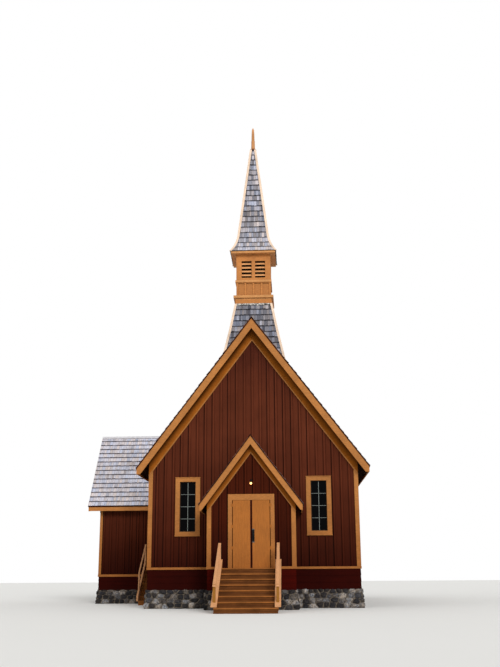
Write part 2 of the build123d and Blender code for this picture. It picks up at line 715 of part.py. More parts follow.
def door_hinges(side):
    """The hinge halves that move with a leaf, each with the middle knuckle."""
    x, y = hinge_axis()
    face = -VEST_DEPTH - DOOR_PROUD
    near = x - HINGE_RADIUS - HINGE_ROOM
    pieces = []
    for height in HINGE_HEIGHTS:
        z = FLOOR_TOP + height
        knuckle = Pos(x, y, z) * Cylinder(HINGE_RADIUS, HINGE_KNUCKLE)
        knuckle += hinge_plate(near - LEAF_PLATE_WIDTH, near, face, z, HINGE_LENGTH)
        knuckle += hinge_plate(near, x - HINGE_PIN_ASIDE, face, z, HINGE_KNUCKLE)
        pieces.append(knuckle)
    hinges = group(pieces)
    return hinges if side > 0 else mirror(hinges, Plane.YZ)


def frame_hinges():
    """The hinge halves on the casing, with knuckles above and below each moving one."""
    x, y = hinge_axis()
    face = -VEST_DEPTH - TRIM_THICK
    near = x + HINGE_RADIUS + HINGE_PIN_ASIDE
    length = (HINGE_LENGTH - HINGE_KNUCKLE) / 2 - HINGE_PLAY
    offset = (HINGE_LENGTH - length) / 2
    pieces = []
    for height in HINGE_HEIGHTS:
        z = FLOOR_TOP + height
        plate = hinge_plate(near, near + FRAME_PLATE_WIDTH, face, z, HINGE_LENGTH)
        for end in (-1, 1):
            middle = z + end * offset
            plate += Pos(x, y, middle) * Cylinder(HINGE_RADIUS, length)
            plate += hinge_plate(x, near, face, middle, length)
        pieces.append(plate)
    right = group(pieces)
    return group([right, mirror(right, Plane.YZ)])


def door_handle():
    """A pull plate with a bowed grip on the right leaf's free edge."""
    face = -VEST_DEPTH - DOOR_PROUD
    x = DOOR_MEETING_GAP / 2 + DOOR_REBATE + HANDLE_EDGE
    z = FLOOR_TOP + HANDLE_HEIGHT
    half = HANDLE_PLATE_HALF
    tall = HANDLE_PLATE_HEIGHT / 2
    plate = block(x - half, x + half, face - HANDLE_PLATE_THICK, face, z - tall, z + tall)
    end = face - GRIP_SINK
    path = ThreePointArc((x, end, z - GRIP_LENGTH / 2), (x, face - GRIP_REACH, z),
                         (x, end, z + GRIP_LENGTH / 2))
    grip = sweep(Plane(origin=path @ 0, z_dir=path % 0) * Circle(GRIP_RADIUS), path=path)
    behind = block(x - half, x + half, end, face + GRIP_REACH, z - tall, z + tall)
    return plate + (grip - behind)


# Lamp over the entrance
def door_lamp():
    y = -VEST_DEPTH
    lying = Rot(90, 0, 0)
    end = y - LAMP_REACH
    low = LAMP_HEIGHT - LAMP_DROP
    disc = Cylinder(LAMP_PLATE_RADIUS, LAMP_PLATE_THICK)
    plate = Pos(0, y - LAMP_PLATE_THICK / 2, LAMP_HEIGHT) * lying * disc
    arm = Pos(0, y - LAMP_REACH / 2, LAMP_HEIGHT) * lying * Cylinder(LAMP_ARM_RADIUS, LAMP_REACH)
    socket = Pos(0, end, low) * Cylinder(LAMP_SOCKET_RADIUS, LAMP_SOCKET_HEIGHT)
    bulb = Pos(0, end, low - BULB_DROP) * Sphere(BULB_RADIUS)
    return plate + arm + socket + bulb


# Front stair
def stair_foot():
    return -VEST_DEPTH - LANDING_DEPTH - (RISER_COUNT - 1) * TREAD_RUN


def nosing_height(y):
    """Height of the line through the front stair's nosings."""
    return RISER + (y - stair_foot()) * RISER / TREAD_RUN


def front_treads():
    half = STAIR_CLEAR / 2
    pieces = []
    for i in range(RISER_COUNT):
        y0 = stair_foot() + i * TREAD_RUN
        last = i == RISER_COUNT - 1
        y1 = -VEST_DEPTH if last else y0 + TREAD_RUN - RISER_THICK
        z1 = (i + 1) * RISER
        reach = half + STRINGER_THICK + FIRST_STEP_LAP if i == 0 else half
        pieces.append(block(STAIR_X - reach, STAIR_X + reach, y0 - NOSING, y1, z1 - TREAD_THICK, z1))
    return group(pieces)


def front_risers():
    half = STAIR_CLEAR / 2
    pieces = []
    for i in range(RISER_COUNT):
        y0 = stair_foot() + i * TREAD_RUN
        z1 = (i + 1) * RISER - TREAD_THICK
        z0 = 0 if i == 0 else i * RISER
        reach = half + STRINGER_THICK + FIRST_STEP_LAP if i == 0 else half
        pieces.append(block(STAIR_X - reach, STAIR_X + reach, y0, y0 + RISER_THICK, z0, z1))
    return group(pieces)


def rail_top_y():
    return -VEST_DEPTH - RAIL_END_GAP


def slope_board(low_y, high_y, lift, depth):
    """Outline, in (y, z), of a board that runs with the nosings."""
    return [(low_y, nosing_height(low_y) + lift), (high_y, nosing_height(high_y) + lift),
            (high_y, nosing_height(high_y) + lift - depth), (low_y, nosing_height(low_y) + lift - depth)]


def front_stringers():
    half = STAIR_CLEAR / 2
    low = stair_foot() + RISER_THICK
    outline = slope_board(low, rail_top_y(), 0, STRINGER_DEPTH)
    ground = block(-BEYOND, BEYOND, -BEYOND, 0, -BEYOND, 0)
    first_step = block(-BEYOND, BEYOND, -BEYOND, stair_foot() + TREAD_RUN - RISER_THICK, -BEYOND, RISER)
    landing_y = -VEST_DEPTH - LANDING_DEPTH
    pieces = []
    for side in (-1, 1):
        x0 = STAIR_X + side * half
        x1 = x0 + side * STRINGER_THICK
        xs = sorted((x0, x1))
        board = along_x(outline, xs[0], xs[1]) - ground - first_step
        board += block(xs[0], xs[1], landing_y, -VEST_DEPTH, FLOOR_TOP - LANDING_BEAM, FLOOR_TOP)
        board += block(xs[0], xs[1], landing_y, landing_y + POST, 0, FLOOR_TOP - LANDING_BEAM)
        pieces.append(board)
    return group(pieces)


def front_rails():
    half = STAIR_CLEAR / 2
    low = stair_foot() + RAIL_FOOT
    top = rail_top_y()
    post_ys = (low + LOWER_POST, top - POST)
    pieces = []
    for side in (-1, 1):
        inner = STAIR_X + side * half
        xs = sorted((inner, inner + side * CAP_WIDTH))
        centre = inner + side * CAP_WIDTH / 2
        cap = along_x(slope_board(low, top, CAP_THICK, CAP_THICK), xs[0], xs[1])
        lift = CAP_THICK + HANDRAIL_RISE
        rail = slope_board(low + HANDRAIL_FOOT, top, lift, HANDRAIL_THICK)
        cap += along_x(rail, centre - HANDRAIL_WIDTH / 2, centre + HANDRAIL_WIDTH / 2)
        for y in post_ys:
            shape = slope_board(y, y + POST, lift - HANDRAIL_THICK, HANDRAIL_RISE - HANDRAIL_THICK)
            cap += along_x(shape, centre - POST / 2, centre + POST / 2)
        pieces.append(cap)
    return group(pieces)


# Side stair up to the wing's door
def side_stair_foot():
    return WING_FRONT - SIDE_LANDING - (RISER_COUNT - 1) * SIDE_TREAD_RUN


def side_line(y):
    return RISER + (y - side_stair_foot()) * RISER / SIDE_TREAD_RUN


def side_board(low_y, high_y, lift, depth):
    return [(low_y, side_line(low_y) + lift), (high_y, side_line(high_y) + lift),
            (high_y, side_line(high_y) + lift - depth), (low_y, side_line(low_y) + lift - depth)]


def side_stair():
    x = side_stair_centre()
    half = SIDE_STAIR_WIDTH / 2
    foot = side_stair_foot()
    landing = WING_FRONT - SIDE_LANDING
    stair = None
    for i in range(RISER_COUNT):
        y0 = foot + i * SIDE_TREAD_RUN
        y1 = WING_FRONT if i == RISER_COUNT - 1 else y0 + SIDE_TREAD_RUN + RISER_THICK
        z1 = (i + 1) * RISER
        step = block(x - half, x + half, y0 - NOSING, y1, z1 - TREAD_THICK, z1)
        step += block(x - half, x + half, y0, y0 + RISER_THICK, z1 - RISER, z1 - TREAD_THICK)
        stair = step if stair is None else stair + step
    ground = block(-BEYOND, BEYOND, 0, WING_FRONT, -BEYOND, 0)
    outline = side_board(foot + RISER_THICK, landing + SIDE_STRINGER_LAP, -TREAD_THICK, STRINGER_DEPTH)
    cut = block(-BEYOND, BEYOND, landing, WING_FRONT, FLOOR_TOP - TREAD_THICK, BEYOND)
    for side in (-1, 1):
        xs = sorted((x + side * half, x + side * (half - SIDE_STRINGER_THICK)))
        stair += along_x(outline, xs[0], xs[1]) - ground - cut
        stair += block(xs[0], xs[1], landing, WING_FRONT, FLOOR_TOP - LANDING_BEAM, FLOOR_TOP - TREAD_THICK)
        stair += block(xs[0], xs[1], landing, landing + POST, 0, FLOOR_TOP - LANDING_BEAM)
    return stair


def side_rail():
    half = SIDE_RAIL_WIDTH / 2
    x = side_stair_centre() - SIDE_STAIR_WIDTH / 2 - half
    foot = side_stair_foot()
    top = WING_FRONT - SIDE_LANDING + SIDE_RAIL_RUN_ON
    under = SIDE_RAIL_RISE - HANDRAIL_THICK
    rail = along_x(side_board(foot + SIDE_RAIL_FOOT, top, SIDE_RAIL_RISE, HANDRAIL_THICK), x - half, x + half)
    guard = side_board(foot - NOSING, top, SIDE_GUARD, SIDE_GUARD)
    rail += along_x(guard, x + half - SIDE_GUARD_THICK, x + half)
    rail -= block(-BEYOND, BEYOND, 0, WING_FRONT, -BEYOND, 0)
    for y in (foot + SIDE_RAIL_FOOT, top - POST):
        shape = side_board(y, y + POST, under, under - SIDE_POST_DROP)
        rail += along_x(shape, x - half, x + half)
    return rail


def side_door():
    x = side_stair_centre()
    half = SIDE_DOOR_WIDTH / 2
    y0 = WING_FRONT + SIDE_DOOR_SETBACK
    return block(x - half, x + half, y0, y0 + SIDE_DOOR_THICK, FLOOR_TOP, FLOOR_TOP + SIDE_DOOR_HEIGHT)


def side_door_casing():
    x = side_stair_centre()
    half = SIDE_DOOR_WIDTH / 2
    top = FLOOR_TOP + SIDE_DOOR_HEIGHT
    left = x - half - DOOR_CASING
    right = min(x + half + DOOR_CASING, -NAVE_HALF)
    frame = block(left, right, WING_FRONT - TRIM_THICK, WING_FRONT, FLOOR_TOP, top + DOOR_CASING)
    return frame - block(x - half, x + half, WING_FRONT - TRIM_THICK, WING_FRONT, FLOOR_TOP, top)


# Steeple: every part is one profile, carried both ways and kept where the two meet
def both_ways(edge):
    """A four-sided tower whose half width follows an edge from foot to top."""
    low = edge @ 0
    high = edge @ 1
    half = [edge, Line(high, (0, 0, high.Z)), Line((0, 0, high.Z), (0, 0, low.Z)), Line((0, 0, low.Z), low)]
    face = make_face(half)
    face += mirror(face, Plane.YZ)
    reach = 2 * max(abs(low.X), abs(high.X))
    wall = extrude(face, amount=reach, dir=(0, 1, 0), both=True)
    tower = wall & (Rot(0, 0, 90) * wall)
    return Pos(0, STEEPLE_Y, 0) * tower


def base_half(inset):
    """Edge of the steeple's flared foot, from below the ridge to the belfry."""
    low_z = BASE_MID_HEIGHT - (NAVE_RIDGE - nave_soffit(BASE_MID_HALF)) - BASE_TUCK
    low_half = BASE_MID_HALF + (BASE_MID_HEIGHT - low_z) * BASE_FLARE
    return Polyline((low_half - inset, 0, low_z), (BASE_MID_HALF - inset, 0, BASE_MID_HEIGHT),
                    (BASE_TOP_HALF - inset, 0, BASE_TOP))


def spire_edge(grow):
    """Edge of the spire: a sweeping foot and a straight taper to its top."""
    sweep_half = SPIRE_TOP_HALF + (SPIRE_TOP - SPIRE_SWEEP_HEIGHT) * SPIRE_TAPER
    mid_z = SPIRE_EAVE_TOP + SWEEP_MID * (SPIRE_SWEEP_HEIGHT - SPIRE_EAVE_TOP)
    mid_half = sweep_half + SWEEP_BOW * (SPIRE_FOOT_HALF - sweep_half)
    foot = ThreePointArc((SPIRE_FOOT_HALF + grow, 0, SPIRE_EAVE_TOP), (mid_half + grow, 0, mid_z),
                         (sweep_half + grow, 0, SPIRE_SWEEP_HEIGHT))
    return foot + Line((sweep_half + grow, 0, SPIRE_SWEEP_HEIGHT), (SPIRE_TOP_HALF + grow, 0, SPIRE_TOP))


def steeple_mass(edge):
    return both_ways(Wire(edge.edges()))


def roof_wedge():
    """Everything below the nave's two roof slopes."""
    reach = 2 * NAVE_HALF
    outline = [(0, NAVE_RIDGE), (reach, NAVE_RIDGE - PITCH * reach), (-reach, NAVE_RIDGE - PITCH * reach)]
    return along_y(outline, -2 * NAVE_HALF, NAVE_LENGTH)


def hip_boards(edge_at):
    """Corner strips that lie on the four hips of a tower."""
    outer = steeple_mass(edge_at(HIP_THICK))
    body = steeple_mass(edge_at(0))
    strips = outer - body
    return strips - face_band(edge_at(-HIP_BOARD))


def face_band(edge):
    """The two crossing slabs that leave only a tower's corners."""
    wire = Wire(edge.edges())
    low = wire @ 0
    high = wire @ 1
    half = [wire, Line(high, (0, 0, high.Z)), Line((0, 0, high.Z), (0, 0, low.Z)), Line((0, 0, low.Z), low)]
    face = make_face(half)
    face += mirror(face, Plane.YZ)
    wall = extrude(face, amount=3 * abs(low.X), dir=(0, 1, 0), both=True)
    return Pos(0, STEEPLE_Y, 0) * (wall + Rot(0, 0, 90) * wall)


def steeple_base():
    shell = steeple_mass(base_half(0)) - steeple_mass(base_half(BASE_WALL))
    return shell - roof_wedge()


def base_hips():
    return hip_boards(lambda grow: base_half(-grow)) - roof_wedge()


def square_ring(outer, inner, z0, z1):
    y = STEEPLE_Y
    ring = block(-outer, outer, y - outer, y + outer, z0, z1)
    return ring - block(-inner, inner, y - inner, y + inner, z0, z1)


def on_four_faces(piece):
    """Copies of a piece drawn on the front face, one on each face of the belfry."""
    return [Pos(0, STEEPLE_Y, 0) * Rot(0, 0, 90 * i) * Pos(0, -STEEPLE_Y, 0) * piece for i in range(4)]


def louvre_holes():
    y0 = STEEPLE_Y - BELFRY_HALF
    x0 = LOUVRE_MULLION / 2
    top = LOUVRE_BOTTOM + LOUVRE_HEIGHT
    return [block(x, x + LOUVRE_WIDTH, y0, y0 + BELFRY_WALL, LOUVRE_BOTTOM, top)
            for x in (x0, -x0 - LOUVRE_WIDTH)]


def belfry_walls():
    walls = square_ring(BELFRY_HALF, BELFRY_HALF - BELFRY_WALL, BASE_TOP, SPIRE_EAVE_BOTTOM)
    y0 = STEEPLE_Y - BELFRY_HALF
    pitch = (2 * BELFRY_HALF - PANEL_STILE) / PANEL_COUNT
    low = BASE_TOP + PANEL_FOOT
    cuts = list(louvre_holes())
    for i in range(PANEL_COUNT):
        x0 = -BELFRY_HALF + PANEL_STILE + i * pitch
        x1 = x0 + pitch - PANEL_STILE
        cuts.append(block(x0, x1, y0, y0 + PANEL_SINK, low, low + PANEL_HEIGHT))
    for cut in cuts:
        for copy in on_four_faces(cut):
            walls -= copy
    return walls


def belfry_mouldings():
    half = BELFRY_HALF
    upper_foot = BASE_TOP + UPPER_BAND_FOOT
    lower_foot = BASE_TOP + PLINTH_HEIGHT
    upper = square_ring(half + UPPER_BAND_PROUD, half, upper_foot, upper_foot + UPPER_BAND_HEIGHT)
    lower = square_ring(half + LOWER_BAND_PROUD, half, lower_foot, lower_foot + LOWER_BAND_HEIGHT)
    lower += square_ring(half + PLINTH_PROUD, half, BASE_TOP, lower_foot)
    return group([upper, lower])


def belfry_louvres():
    """Sloping slats in each opening, held by a shallow closed box behind the wall."""
    slope = math.radians(SLAT_ANGLE)
    deep = SLAT_DEPTH * math.cos(slope) + SLAT_THICK * math.sin(slope)
    tall = SLAT_DEPTH * math.sin(slope) + SLAT_THICK * math.cos(slope)
    side = LOUVRE_BOX_SIDE
    louvres = []
    for hole in louvre_holes():
        low = hole.bounding_box().min
        high = hole.bounding_box().max
        back = low.Y + SLAT_SETBACK + deep
        louvre = block(low.X - side, high.X + side, high.Y, back + LOUVRE_BOX_BACK,
                       low.Z - side, high.Z + side)
        louvre -= block(low.X, high.X, high.Y, back - LOUVRE_BOX_BITE, low.Z, high.Z)
        for i in range(SLAT_COUNT):
            z = LOUVRE_BOTTOM + SLAT_FOOT_GAP + tall / 2 + i * SLAT_PITCH
            slat = Box(LOUVRE_WIDTH, SLAT_DEPTH, SLAT_THICK)
            louvre += Pos(low.X + LOUVRE_WIDTH / 2, back - deep / 2, z) * Rot(SLAT_ANGLE, 0, 0) * slat
        louvres.append(louvre)
    return group([copy for louvre in louvres for copy in on_four_faces(louvre)])


def spire_eave():
    y = STEEPLE_Y
    half = SPIRE_EAVE_HALF
    return block(-half, half, y - half, y + half, SPIRE_EAVE_BOTTOM, SPIRE_EAVE_TOP)


def finial():
    """A turned finial, revolved from its outline."""
    outline = [(0, 0)] + list(FINIAL_PROFILE) + [(0, FINIAL_HEIGHT)]
    face = make_face(Polyline([(x, 0, SPIRE_TOP + h) for x, h in outline], close=True))
    return Pos(0, STEEPLE_Y, 0) * revolve(face, Axis.Z)


places = window_places()
all_places = [place for row in places.values() for place in row]
opening_front = WING_CENTRE - WING_OPENING_WIDTH / 2
opening_rear = WING_CENTRE + WING_OPENING_WIDTH / 2
rear_end = NAVE_LENGTH - WALL
low = FOUNDATION_TOP

nodes = {
    "foundation": foundation(),
    "main_floor": main_floor(),
    "front_wall_left": front_wall_side(-1, places["front_left"]),
    "front_wall_right": front_wall_side(1, places["front_right"]),
    "front_wall_over_passage": front_wall_over_passage(),
    "left_wall_front": nave_side_wall(-1, WALL, opening_front, low, places["left_front"]),
    "left_wall_rear": nave_side_wall(-1, opening_rear, rear_end, low, places["left_rear"]),
    "left_wall_over_opening": nave_side_wall(-1, opening_front, opening_rear, PASSAGE_TOP, []),
    "right_wall": nave_side_wall(1, WALL, rear_end, low, places["right"]),
    "rear_wall": rear_wall(places["rear"]),
    "vestibule_side_walls": vestibule_side_walls(),
    "vestibule_front_walls": vestibule_front_walls(),
    "vestibule_wall_over_door": vestibule_wall_over_door(),
    "wing_front_wall": wing_front_wall(),
    "wing_end_wall": wing_end_wall(places["wing_end"]),
    "wing_rear_wall": cut_windows(wing_long_wall(WING_REAR - WALL, WING_REAR), places["wing_rear"]),
    "nave_roof_left": nave_roof(-1),
    "nave_roof_right": nave_roof(1),
    "vestibule_roof": vestibule_roof(),
    "wing_roof": wing_roof(),
    "ridge_caps": ridge_caps(),
    "rake_fascias": rake_fascias(),
    "rake_friezes": rake_friezes(),
    "eave_boards": eave_boards(),
    "corner_boards": corner_boards(),
    "water_table": water_table(),
    "window_casings": group([place * window_casing() for place in all_places]),
    "window_sashes": group([place * window_sash() for place in all_places]),
    "window_glass": group([place * window_glass() for place in all_places]),
    "door_casings": group([door_casing(), side_door_casing()]),
    "door_left": door_leaf(-1),
    "door_right": door_leaf(1),
    "door_left_hinges": door_hinges(-1),
    "door_right_hinges": door_hinges(1),
    "door_frame_hinges": frame_hinges(),
    "door_handle": door_handle(),
    "door_lamp": door_lamp(),
    "front_treads": front_treads(),
    "front_risers": front_risers(),
    "front_stringers": front_stringers(),
    "front_rails": front_rails(),
    "side_stair": side_stair(),
    "side_rail": side_rail(),
    "side_door": side_door(),
    "steeple_base": steeple_base(),
    "belfry_walls": belfry_walls(),
    "belfry_mouldings": belfry_mouldings(),
    "belfry_louvres": belfry_louvres(),
    "spire_eave": spire_eave(),
    "spire": steeple_mass(spire_edge(0)),
    "hip_boards": group([hip_boards(spire_edge), base_hips()]),
    "finial": finial(),
}

for name, shape in nodes.items():
    export_step(shape, f"parts/{name}.step")
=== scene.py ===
import math

import bpy
import numpy as np
from bpy.props import FloatProperty, FloatVectorProperty, PointerProperty
from mathutils import Matrix


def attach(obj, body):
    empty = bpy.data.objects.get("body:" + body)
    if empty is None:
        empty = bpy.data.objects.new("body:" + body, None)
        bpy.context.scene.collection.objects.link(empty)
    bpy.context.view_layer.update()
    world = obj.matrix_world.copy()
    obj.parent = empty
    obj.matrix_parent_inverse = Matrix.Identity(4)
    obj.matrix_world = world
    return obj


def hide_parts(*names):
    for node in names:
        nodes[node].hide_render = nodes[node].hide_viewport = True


bl_info = {
    "name": "Timber chapel dressing",
    "version": (1, 0, 0),
    "blender": (4, 5, 0),
    "location": "3D View > Sidebar > Chapel",
    "description": "Lays siding, shingles, stones and paint over the chapel's solids",
    "category": "Object",
}

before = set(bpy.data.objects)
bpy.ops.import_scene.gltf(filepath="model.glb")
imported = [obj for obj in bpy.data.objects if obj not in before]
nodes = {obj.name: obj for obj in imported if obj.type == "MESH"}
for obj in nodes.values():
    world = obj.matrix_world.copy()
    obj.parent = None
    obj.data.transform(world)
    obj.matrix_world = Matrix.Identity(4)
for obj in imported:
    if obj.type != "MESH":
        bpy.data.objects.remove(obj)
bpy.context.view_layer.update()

# Sizes of the solids, in metres; a pitch is rise over run, a flare or a taper is run over rise
NAVE_HALF = 3.96
NAVE_LENGTH = 15.24
NAVE_RIDGE = 11.01
NAVE_ROOF_DEPTH = 0.23
PITCH = 4.0 / 3.0
SIDE_OVERHANG = 0.44
END_OVERHANG = 0.49
LAP = 0.02
FRIEZE_LINE = 10.17
FRIEZE_THICK = 0.035
VEST_HALF = 1.565
VEST_DEPTH = 1.63
VEST_RIDGE = 6.12
VEST_ROOF_DEPTH = 0.165
VEST_FRIEZE_LINE = 5.495
VEST_SIDE_OVERHANG = 0.285
VEST_END_OVERHANG = 0.35
WING_FRONT = 6.37
WING_REAR = 10.64
WING_CENTRE = 8.505
WING_HALF = 2.135
WING_END = -7.14
WING_RIDGE = 7.66
FLOOR_TOP = 1.42
FOUNDATION_TOP = 0.66
WING_FOUNDATION_TOP = 0.57
FOUNDATION_PROUD = 0.04
CORNER_BOARD = 0.125
TRIM_THICK = 0.035
TABLE_BOTTOM = 1.39
TABLE_TOP = 1.475
WING_TABLE_BOTTOM = 1.14
WING_TABLE_TOP = 1.24
WINDOW_X = 2.488
WINDOW_HALF = 0.30
WINDOW_SILL = 2.772
WINDOW_TOP = 4.638
WINDOW_CASING = 0.172
WING_WINDOW_DROP = 0.45
SIDE_STATIONS = (2.52, 5.92, 9.32, 12.72)
SASH_STILE = 0.024
GLASS_SETBACK = 0.062
DOOR_HALF = 0.67
DOOR_TOP = 3.80
DOOR_FACE = -1.655
STEEPLE_Y = 2.57
BASE_TOP = 12.27
BASE_TOP_HALF = 0.75
BASE_MID = 11.06
BASE_MID_HALF = 0.98
BASE_FLARE = 0.216
SPIRE_FOOT = 14.579
SPIRE_FOOT_HALF = 0.965
SWEEP_TOP = 15.40
HIP_BOARD = 0.05
# Half the plan square behind the louvres that is painted near black, as painted shade.
LOUVRE_SHADE_HALF = 0.60
LAMP_Z = 4.50
PLINTH_HALF = 0.767
HANDLE_Z = 2.545
HANDLE_HALF = 0.24
SPIRE_TOP = 19.727
SPIRE_TOP_HALF = 0.096
SPIRE_TAPER = 0.1248
STAIR_X = -0.062
STAIR_HALF = 0.928
RISER = 0.1775
TREAD_RUN = 0.29
STAIR_FOOT = -4.61
CAP_WIDTH = 0.2
POST_FRONT = -4.41
POST_HALF = 0.046
WALL_DEPTH = 0.14
VEST_COVERS = 4.3  # up to here the vestibule stands before the nave's front wall
WING_FRIEZE_LINE = 6.82
WING_VALLEY_FOOT = 5.0  # above here the wing's roof meets the nave's roof, below it the wall
WING_REAR_WINDOW_X = -5.55
SIDE_DOOR_X = -4.495
SIDE_DOOR_HALF = 0.54
SIDE_DOOR_HEIGHT = 2.23
DOOR_CASING = 0.168
DOOR_HEAD_CASING = 0.214
PLANKS_INNER = 0.038
PLANKS_OUTER = 0.664
PLANKS_FOOT = 1.430
PLANKS_TOP = 3.794
BASE_FOOT = 8.94
# Inside this half width the belfry's paint is darkened: painted shade in the sunk panels and reveals.
BELFRY_INNER = 0.715  # half the width inside the belfry's frame, where its panels lie

# Camera fitted to the photograph
CAMERA_PLACE = (1.4845, -34.3208, 1.2213)
CAMERA_PITCH = 15.071
CAMERA_YAW = -2.604
CAMERA_ROLL = -0.363
CAMERA_LENS = 48.2


def linear(code):
    """An sRGB hex colour as linear red, green and blue."""
    parts = np.array([int(code[i:i + 2], 16) for i in (1, 3, 5)]) / 255.0
    return tuple(np.where(parts <= 0.04045, parts / 12.92, ((parts + 0.055) / 1.055) ** 2.4))


def colour(label, code, about):
    return FloatVectorProperty(name=label, description=about, subtype="COLOR", size=3, min=0, max=1,
                               default=linear(code))


def length(label, metres, about):
    return FloatProperty(name=label, description=about, default=metres, min=0, unit="LENGTH", precision=4)


class ChapelSizes(bpy.types.PropertyGroup):
    board: length("Board spacing", 0.305, "Width of a siding board, from batten to batten")
    batten: length("Batten width", 0.072, "Width of the strips over the board joints")
    batten_thick: length("Batten thickness", 0.026, "How far the strips stand off the boards")
    exposure: length("Shingle exposure", 0.265, "Height of a shingle course that shows")
    shingle: length("Shingle width", 0.105, "Mean width of a split shingle")
    butt: length("Shingle butt", 0.030, "How far a shingle's lower edge stands off the roof")
    stone: length("Stone size", 0.24, "Mean width of a foundation stone")
    relief: length("Stone relief", 0.045, "How far the stones bulge out of their joints")
    batter: length("Stone batter", 0.055, "How far the masonry's foot stands outside its top")
    bar: length("Window bar", 0.018, "Width of a window's cross bars")
    plank: length("Door plank", 0.108, "Width of a plank in the entrance doors")


class ChapelColours(bpy.types.PropertyGroup):
    siding: colour("Siding", "#552817", "Oil stain on the boards and battens")
    skirt: colour("Skirt", "#521603", "Stain on the boards below the water table")
    trim: colour("Trim", "#a66b33", "Paint on the trim boards")
    # A darker copy of the trim paint: painted shade on the boards under the roofs' overhang.
    frieze: colour("Frieze", "#995616", "Paint on the boards in the roofs' shade")
    # Painted shade: the roofs' undersides darkened to the shade they stand in.
    soffit: colour("Soffit", "#38210f", "Old paint on the roofs' undersides")
    # Painted shade: near black on the roof solids' edges and ends and in the gaps between shingles.
    edge: colour("Roof edge", "#30160d", "Wet, dark edges of the shingle courses")
    door: colour("Door", "#9d5d20", "Paint on the entrance doors")
    belfry: colour("Belfry", "#b4743b", "Paint on the belfry")
    moulding: colour("Belfry mouldings", "#c08750", "Bleached paint on the belfry's mouldings and eave")
    # A lighter copy of the belfry paint: painted light on the slats' lit faces.
    louvre: colour("Louvres", "#e0a068", "Bleached paint on the belfry's louvres")
    # Paler than the trim: partly the boards' own paint, partly painted highlight.
    hips: colour("Hip boards", "#e0c6ae", "Sun-bleached paint on the steeple's hips")
    finial: colour("Finial", "#b98253", "Weathered paint on the finial")
    collar: colour("Collar", "#6b3413", "The finial's dark collar")
    shingle_dark: colour("Dark shingle", "#4c4d54", "The darkest weathered shingles")
    shingle: colour("Shingle", "#8b8b90", "Most of the weathered shingles")
    shingle_pale: colour("Pale shingle", "#c4c2c6", "The palest, most silvered shingles")
    # Pale partly as painted highlight on the shingle tips under the plinth.
    flashing: colour("Flashing", "#c4c0b8", "Weathered sheet under the belfry's plinth")
    stone: colour("Stone", "#2c2a2c", "Most of the foundation stones")
    stone_pale: colour("Pale stone", "#8f8c8b", "The palest foundation stones")
    mortar: colour("Mortar", "#5f564b", "The pale lime mortar between the stones")
    stair: colour("Stair", "#8a5426", "Stain on the treads and stringers")
    # A darker copy of the stair stain: painted shade on the risers.
    riser: colour("Riser", "#633a1c", "Stain on the risers, which stay in the treads' shade")
    rail: colour("Rail", "#c48e62", "Paint on the stair's rails")
    # Painted shade on the fronts of the stair's two lower posts.
    post: colour("Post", "#8c5c1c", "Weathered fronts of the stair's lower posts")
    sash: colour("Sash", "#33200f", "Paint on the window sashes")
    bar: colour("Window bar", "#848a85", "Paint on the window bars")
    # Near black: painted shade for the dark room behind the panes.
    glass: colour("Glass", "#050506", "Old sheet glass over a dark room")
    iron: colour("Iron", "#0e0d0d", "Blacked iron of the pull and the lamp")
    pull_end: colour("Pull end", "#5a5752", "Bare metal at the pull's ends")
    # Near black: partly a real felt seal, partly painted shade in the doors' meeting gap.
    strip: colour("Weather strip", "#2a0a05", "Felt in the doors' meeting rebates")
    lining: colour("Lining", "#8a6238", "Pine boards on the rooms' walls")
    bulb: colour("Bulb", "#ffc070", "The lit bulb over the door")
    floor: colour("Ground", "#e9e9e7", "The plain studio floor")


# Meshes
def make_mesh(name, points, faces, finish, slot, body="building", marks=None):
    """One object at the origin from points and faces, with named values for each point."""
    mesh = bpy.data.meshes.new(name)
    mesh.from_pydata(points.reshape(-1, 3).tolist(), [], faces)
    for label, values in (marks or {}).items():
        layer = mesh.attributes.new(label, "FLOAT", "POINT")
        layer.data.foreach_set("value", np.asarray(values, np.float32).ravel())
    mesh.validate()
    mesh.update()
    mesh.materials.append(finish)
    piece = bpy.data.objects.new(name, mesh)
    bpy.context.scene.collection.objects.link(piece)
    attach(piece, body)
    return piece


def carried(name, rings, marks=None, **rest):
    """Profiles carried along paths: rings[i, j, k] is point k of profile i at station j of its path.

    Sides join each station to the next, and the first and last rings are capped. A profile that
    turns the wrong way round its path is reversed, so faces point out.
    """
    rings = np.asarray(rings, float)
    count, stations, corners, _ = rings.shape
    first = rings[:, 0]
    area = np.cross(first, np.roll(first, -1, axis=1)).sum(axis=1)
    travel = rings[:, 1].mean(axis=1) - first.mean(axis=1)
    wrong = (area * travel).sum(axis=1) < 0
    rings[wrong] = rings[wrong][:, :, ::-1]
    spread = {}
    for label, values in (marks or {}).items():
        values = np.array(np.broadcast_to(values, rings.shape[:3]))
        values[wrong] = values[wrong][:, :, ::-1]
        spread[label] = values
    i, j, k = np.meshgrid(np.arange(count), np.arange(stations - 1), np.arange(corners), indexing="ij")
    here = (i * stations + j) * corners
    there = here + corners
    turn = (k + 1) % corners
    sides = np.stack([here + k, here + turn, there + turn, there + k], axis=-1).reshape(-1, 4)
    starts = np.arange(count)[:, None] * stations * corners
    faces = sides.tolist() + (starts + np.arange(corners)[None, ::-1]).tolist()
    faces += (starts + (stations - 1) * corners + np.arange(corners)[None]).tolist()
    return make_mesh(name, rings, faces, marks=spread, **rest)


def soften(names, width):
    """Rounds the edges of solids by a real radius, after their loose triangles are merged."""
    for name in names:
        weld = nodes[name].modifiers.new("Merge", "WELD")
        weld.merge_threshold = 0.00005
        bevel = nodes[name].modifiers.new("Worn edges", "BEVEL")
        bevel.width = width
        bevel.segments = 2
        bevel.limit_method = "ANGLE"
        bevel.angle_limit = math.radians(30)


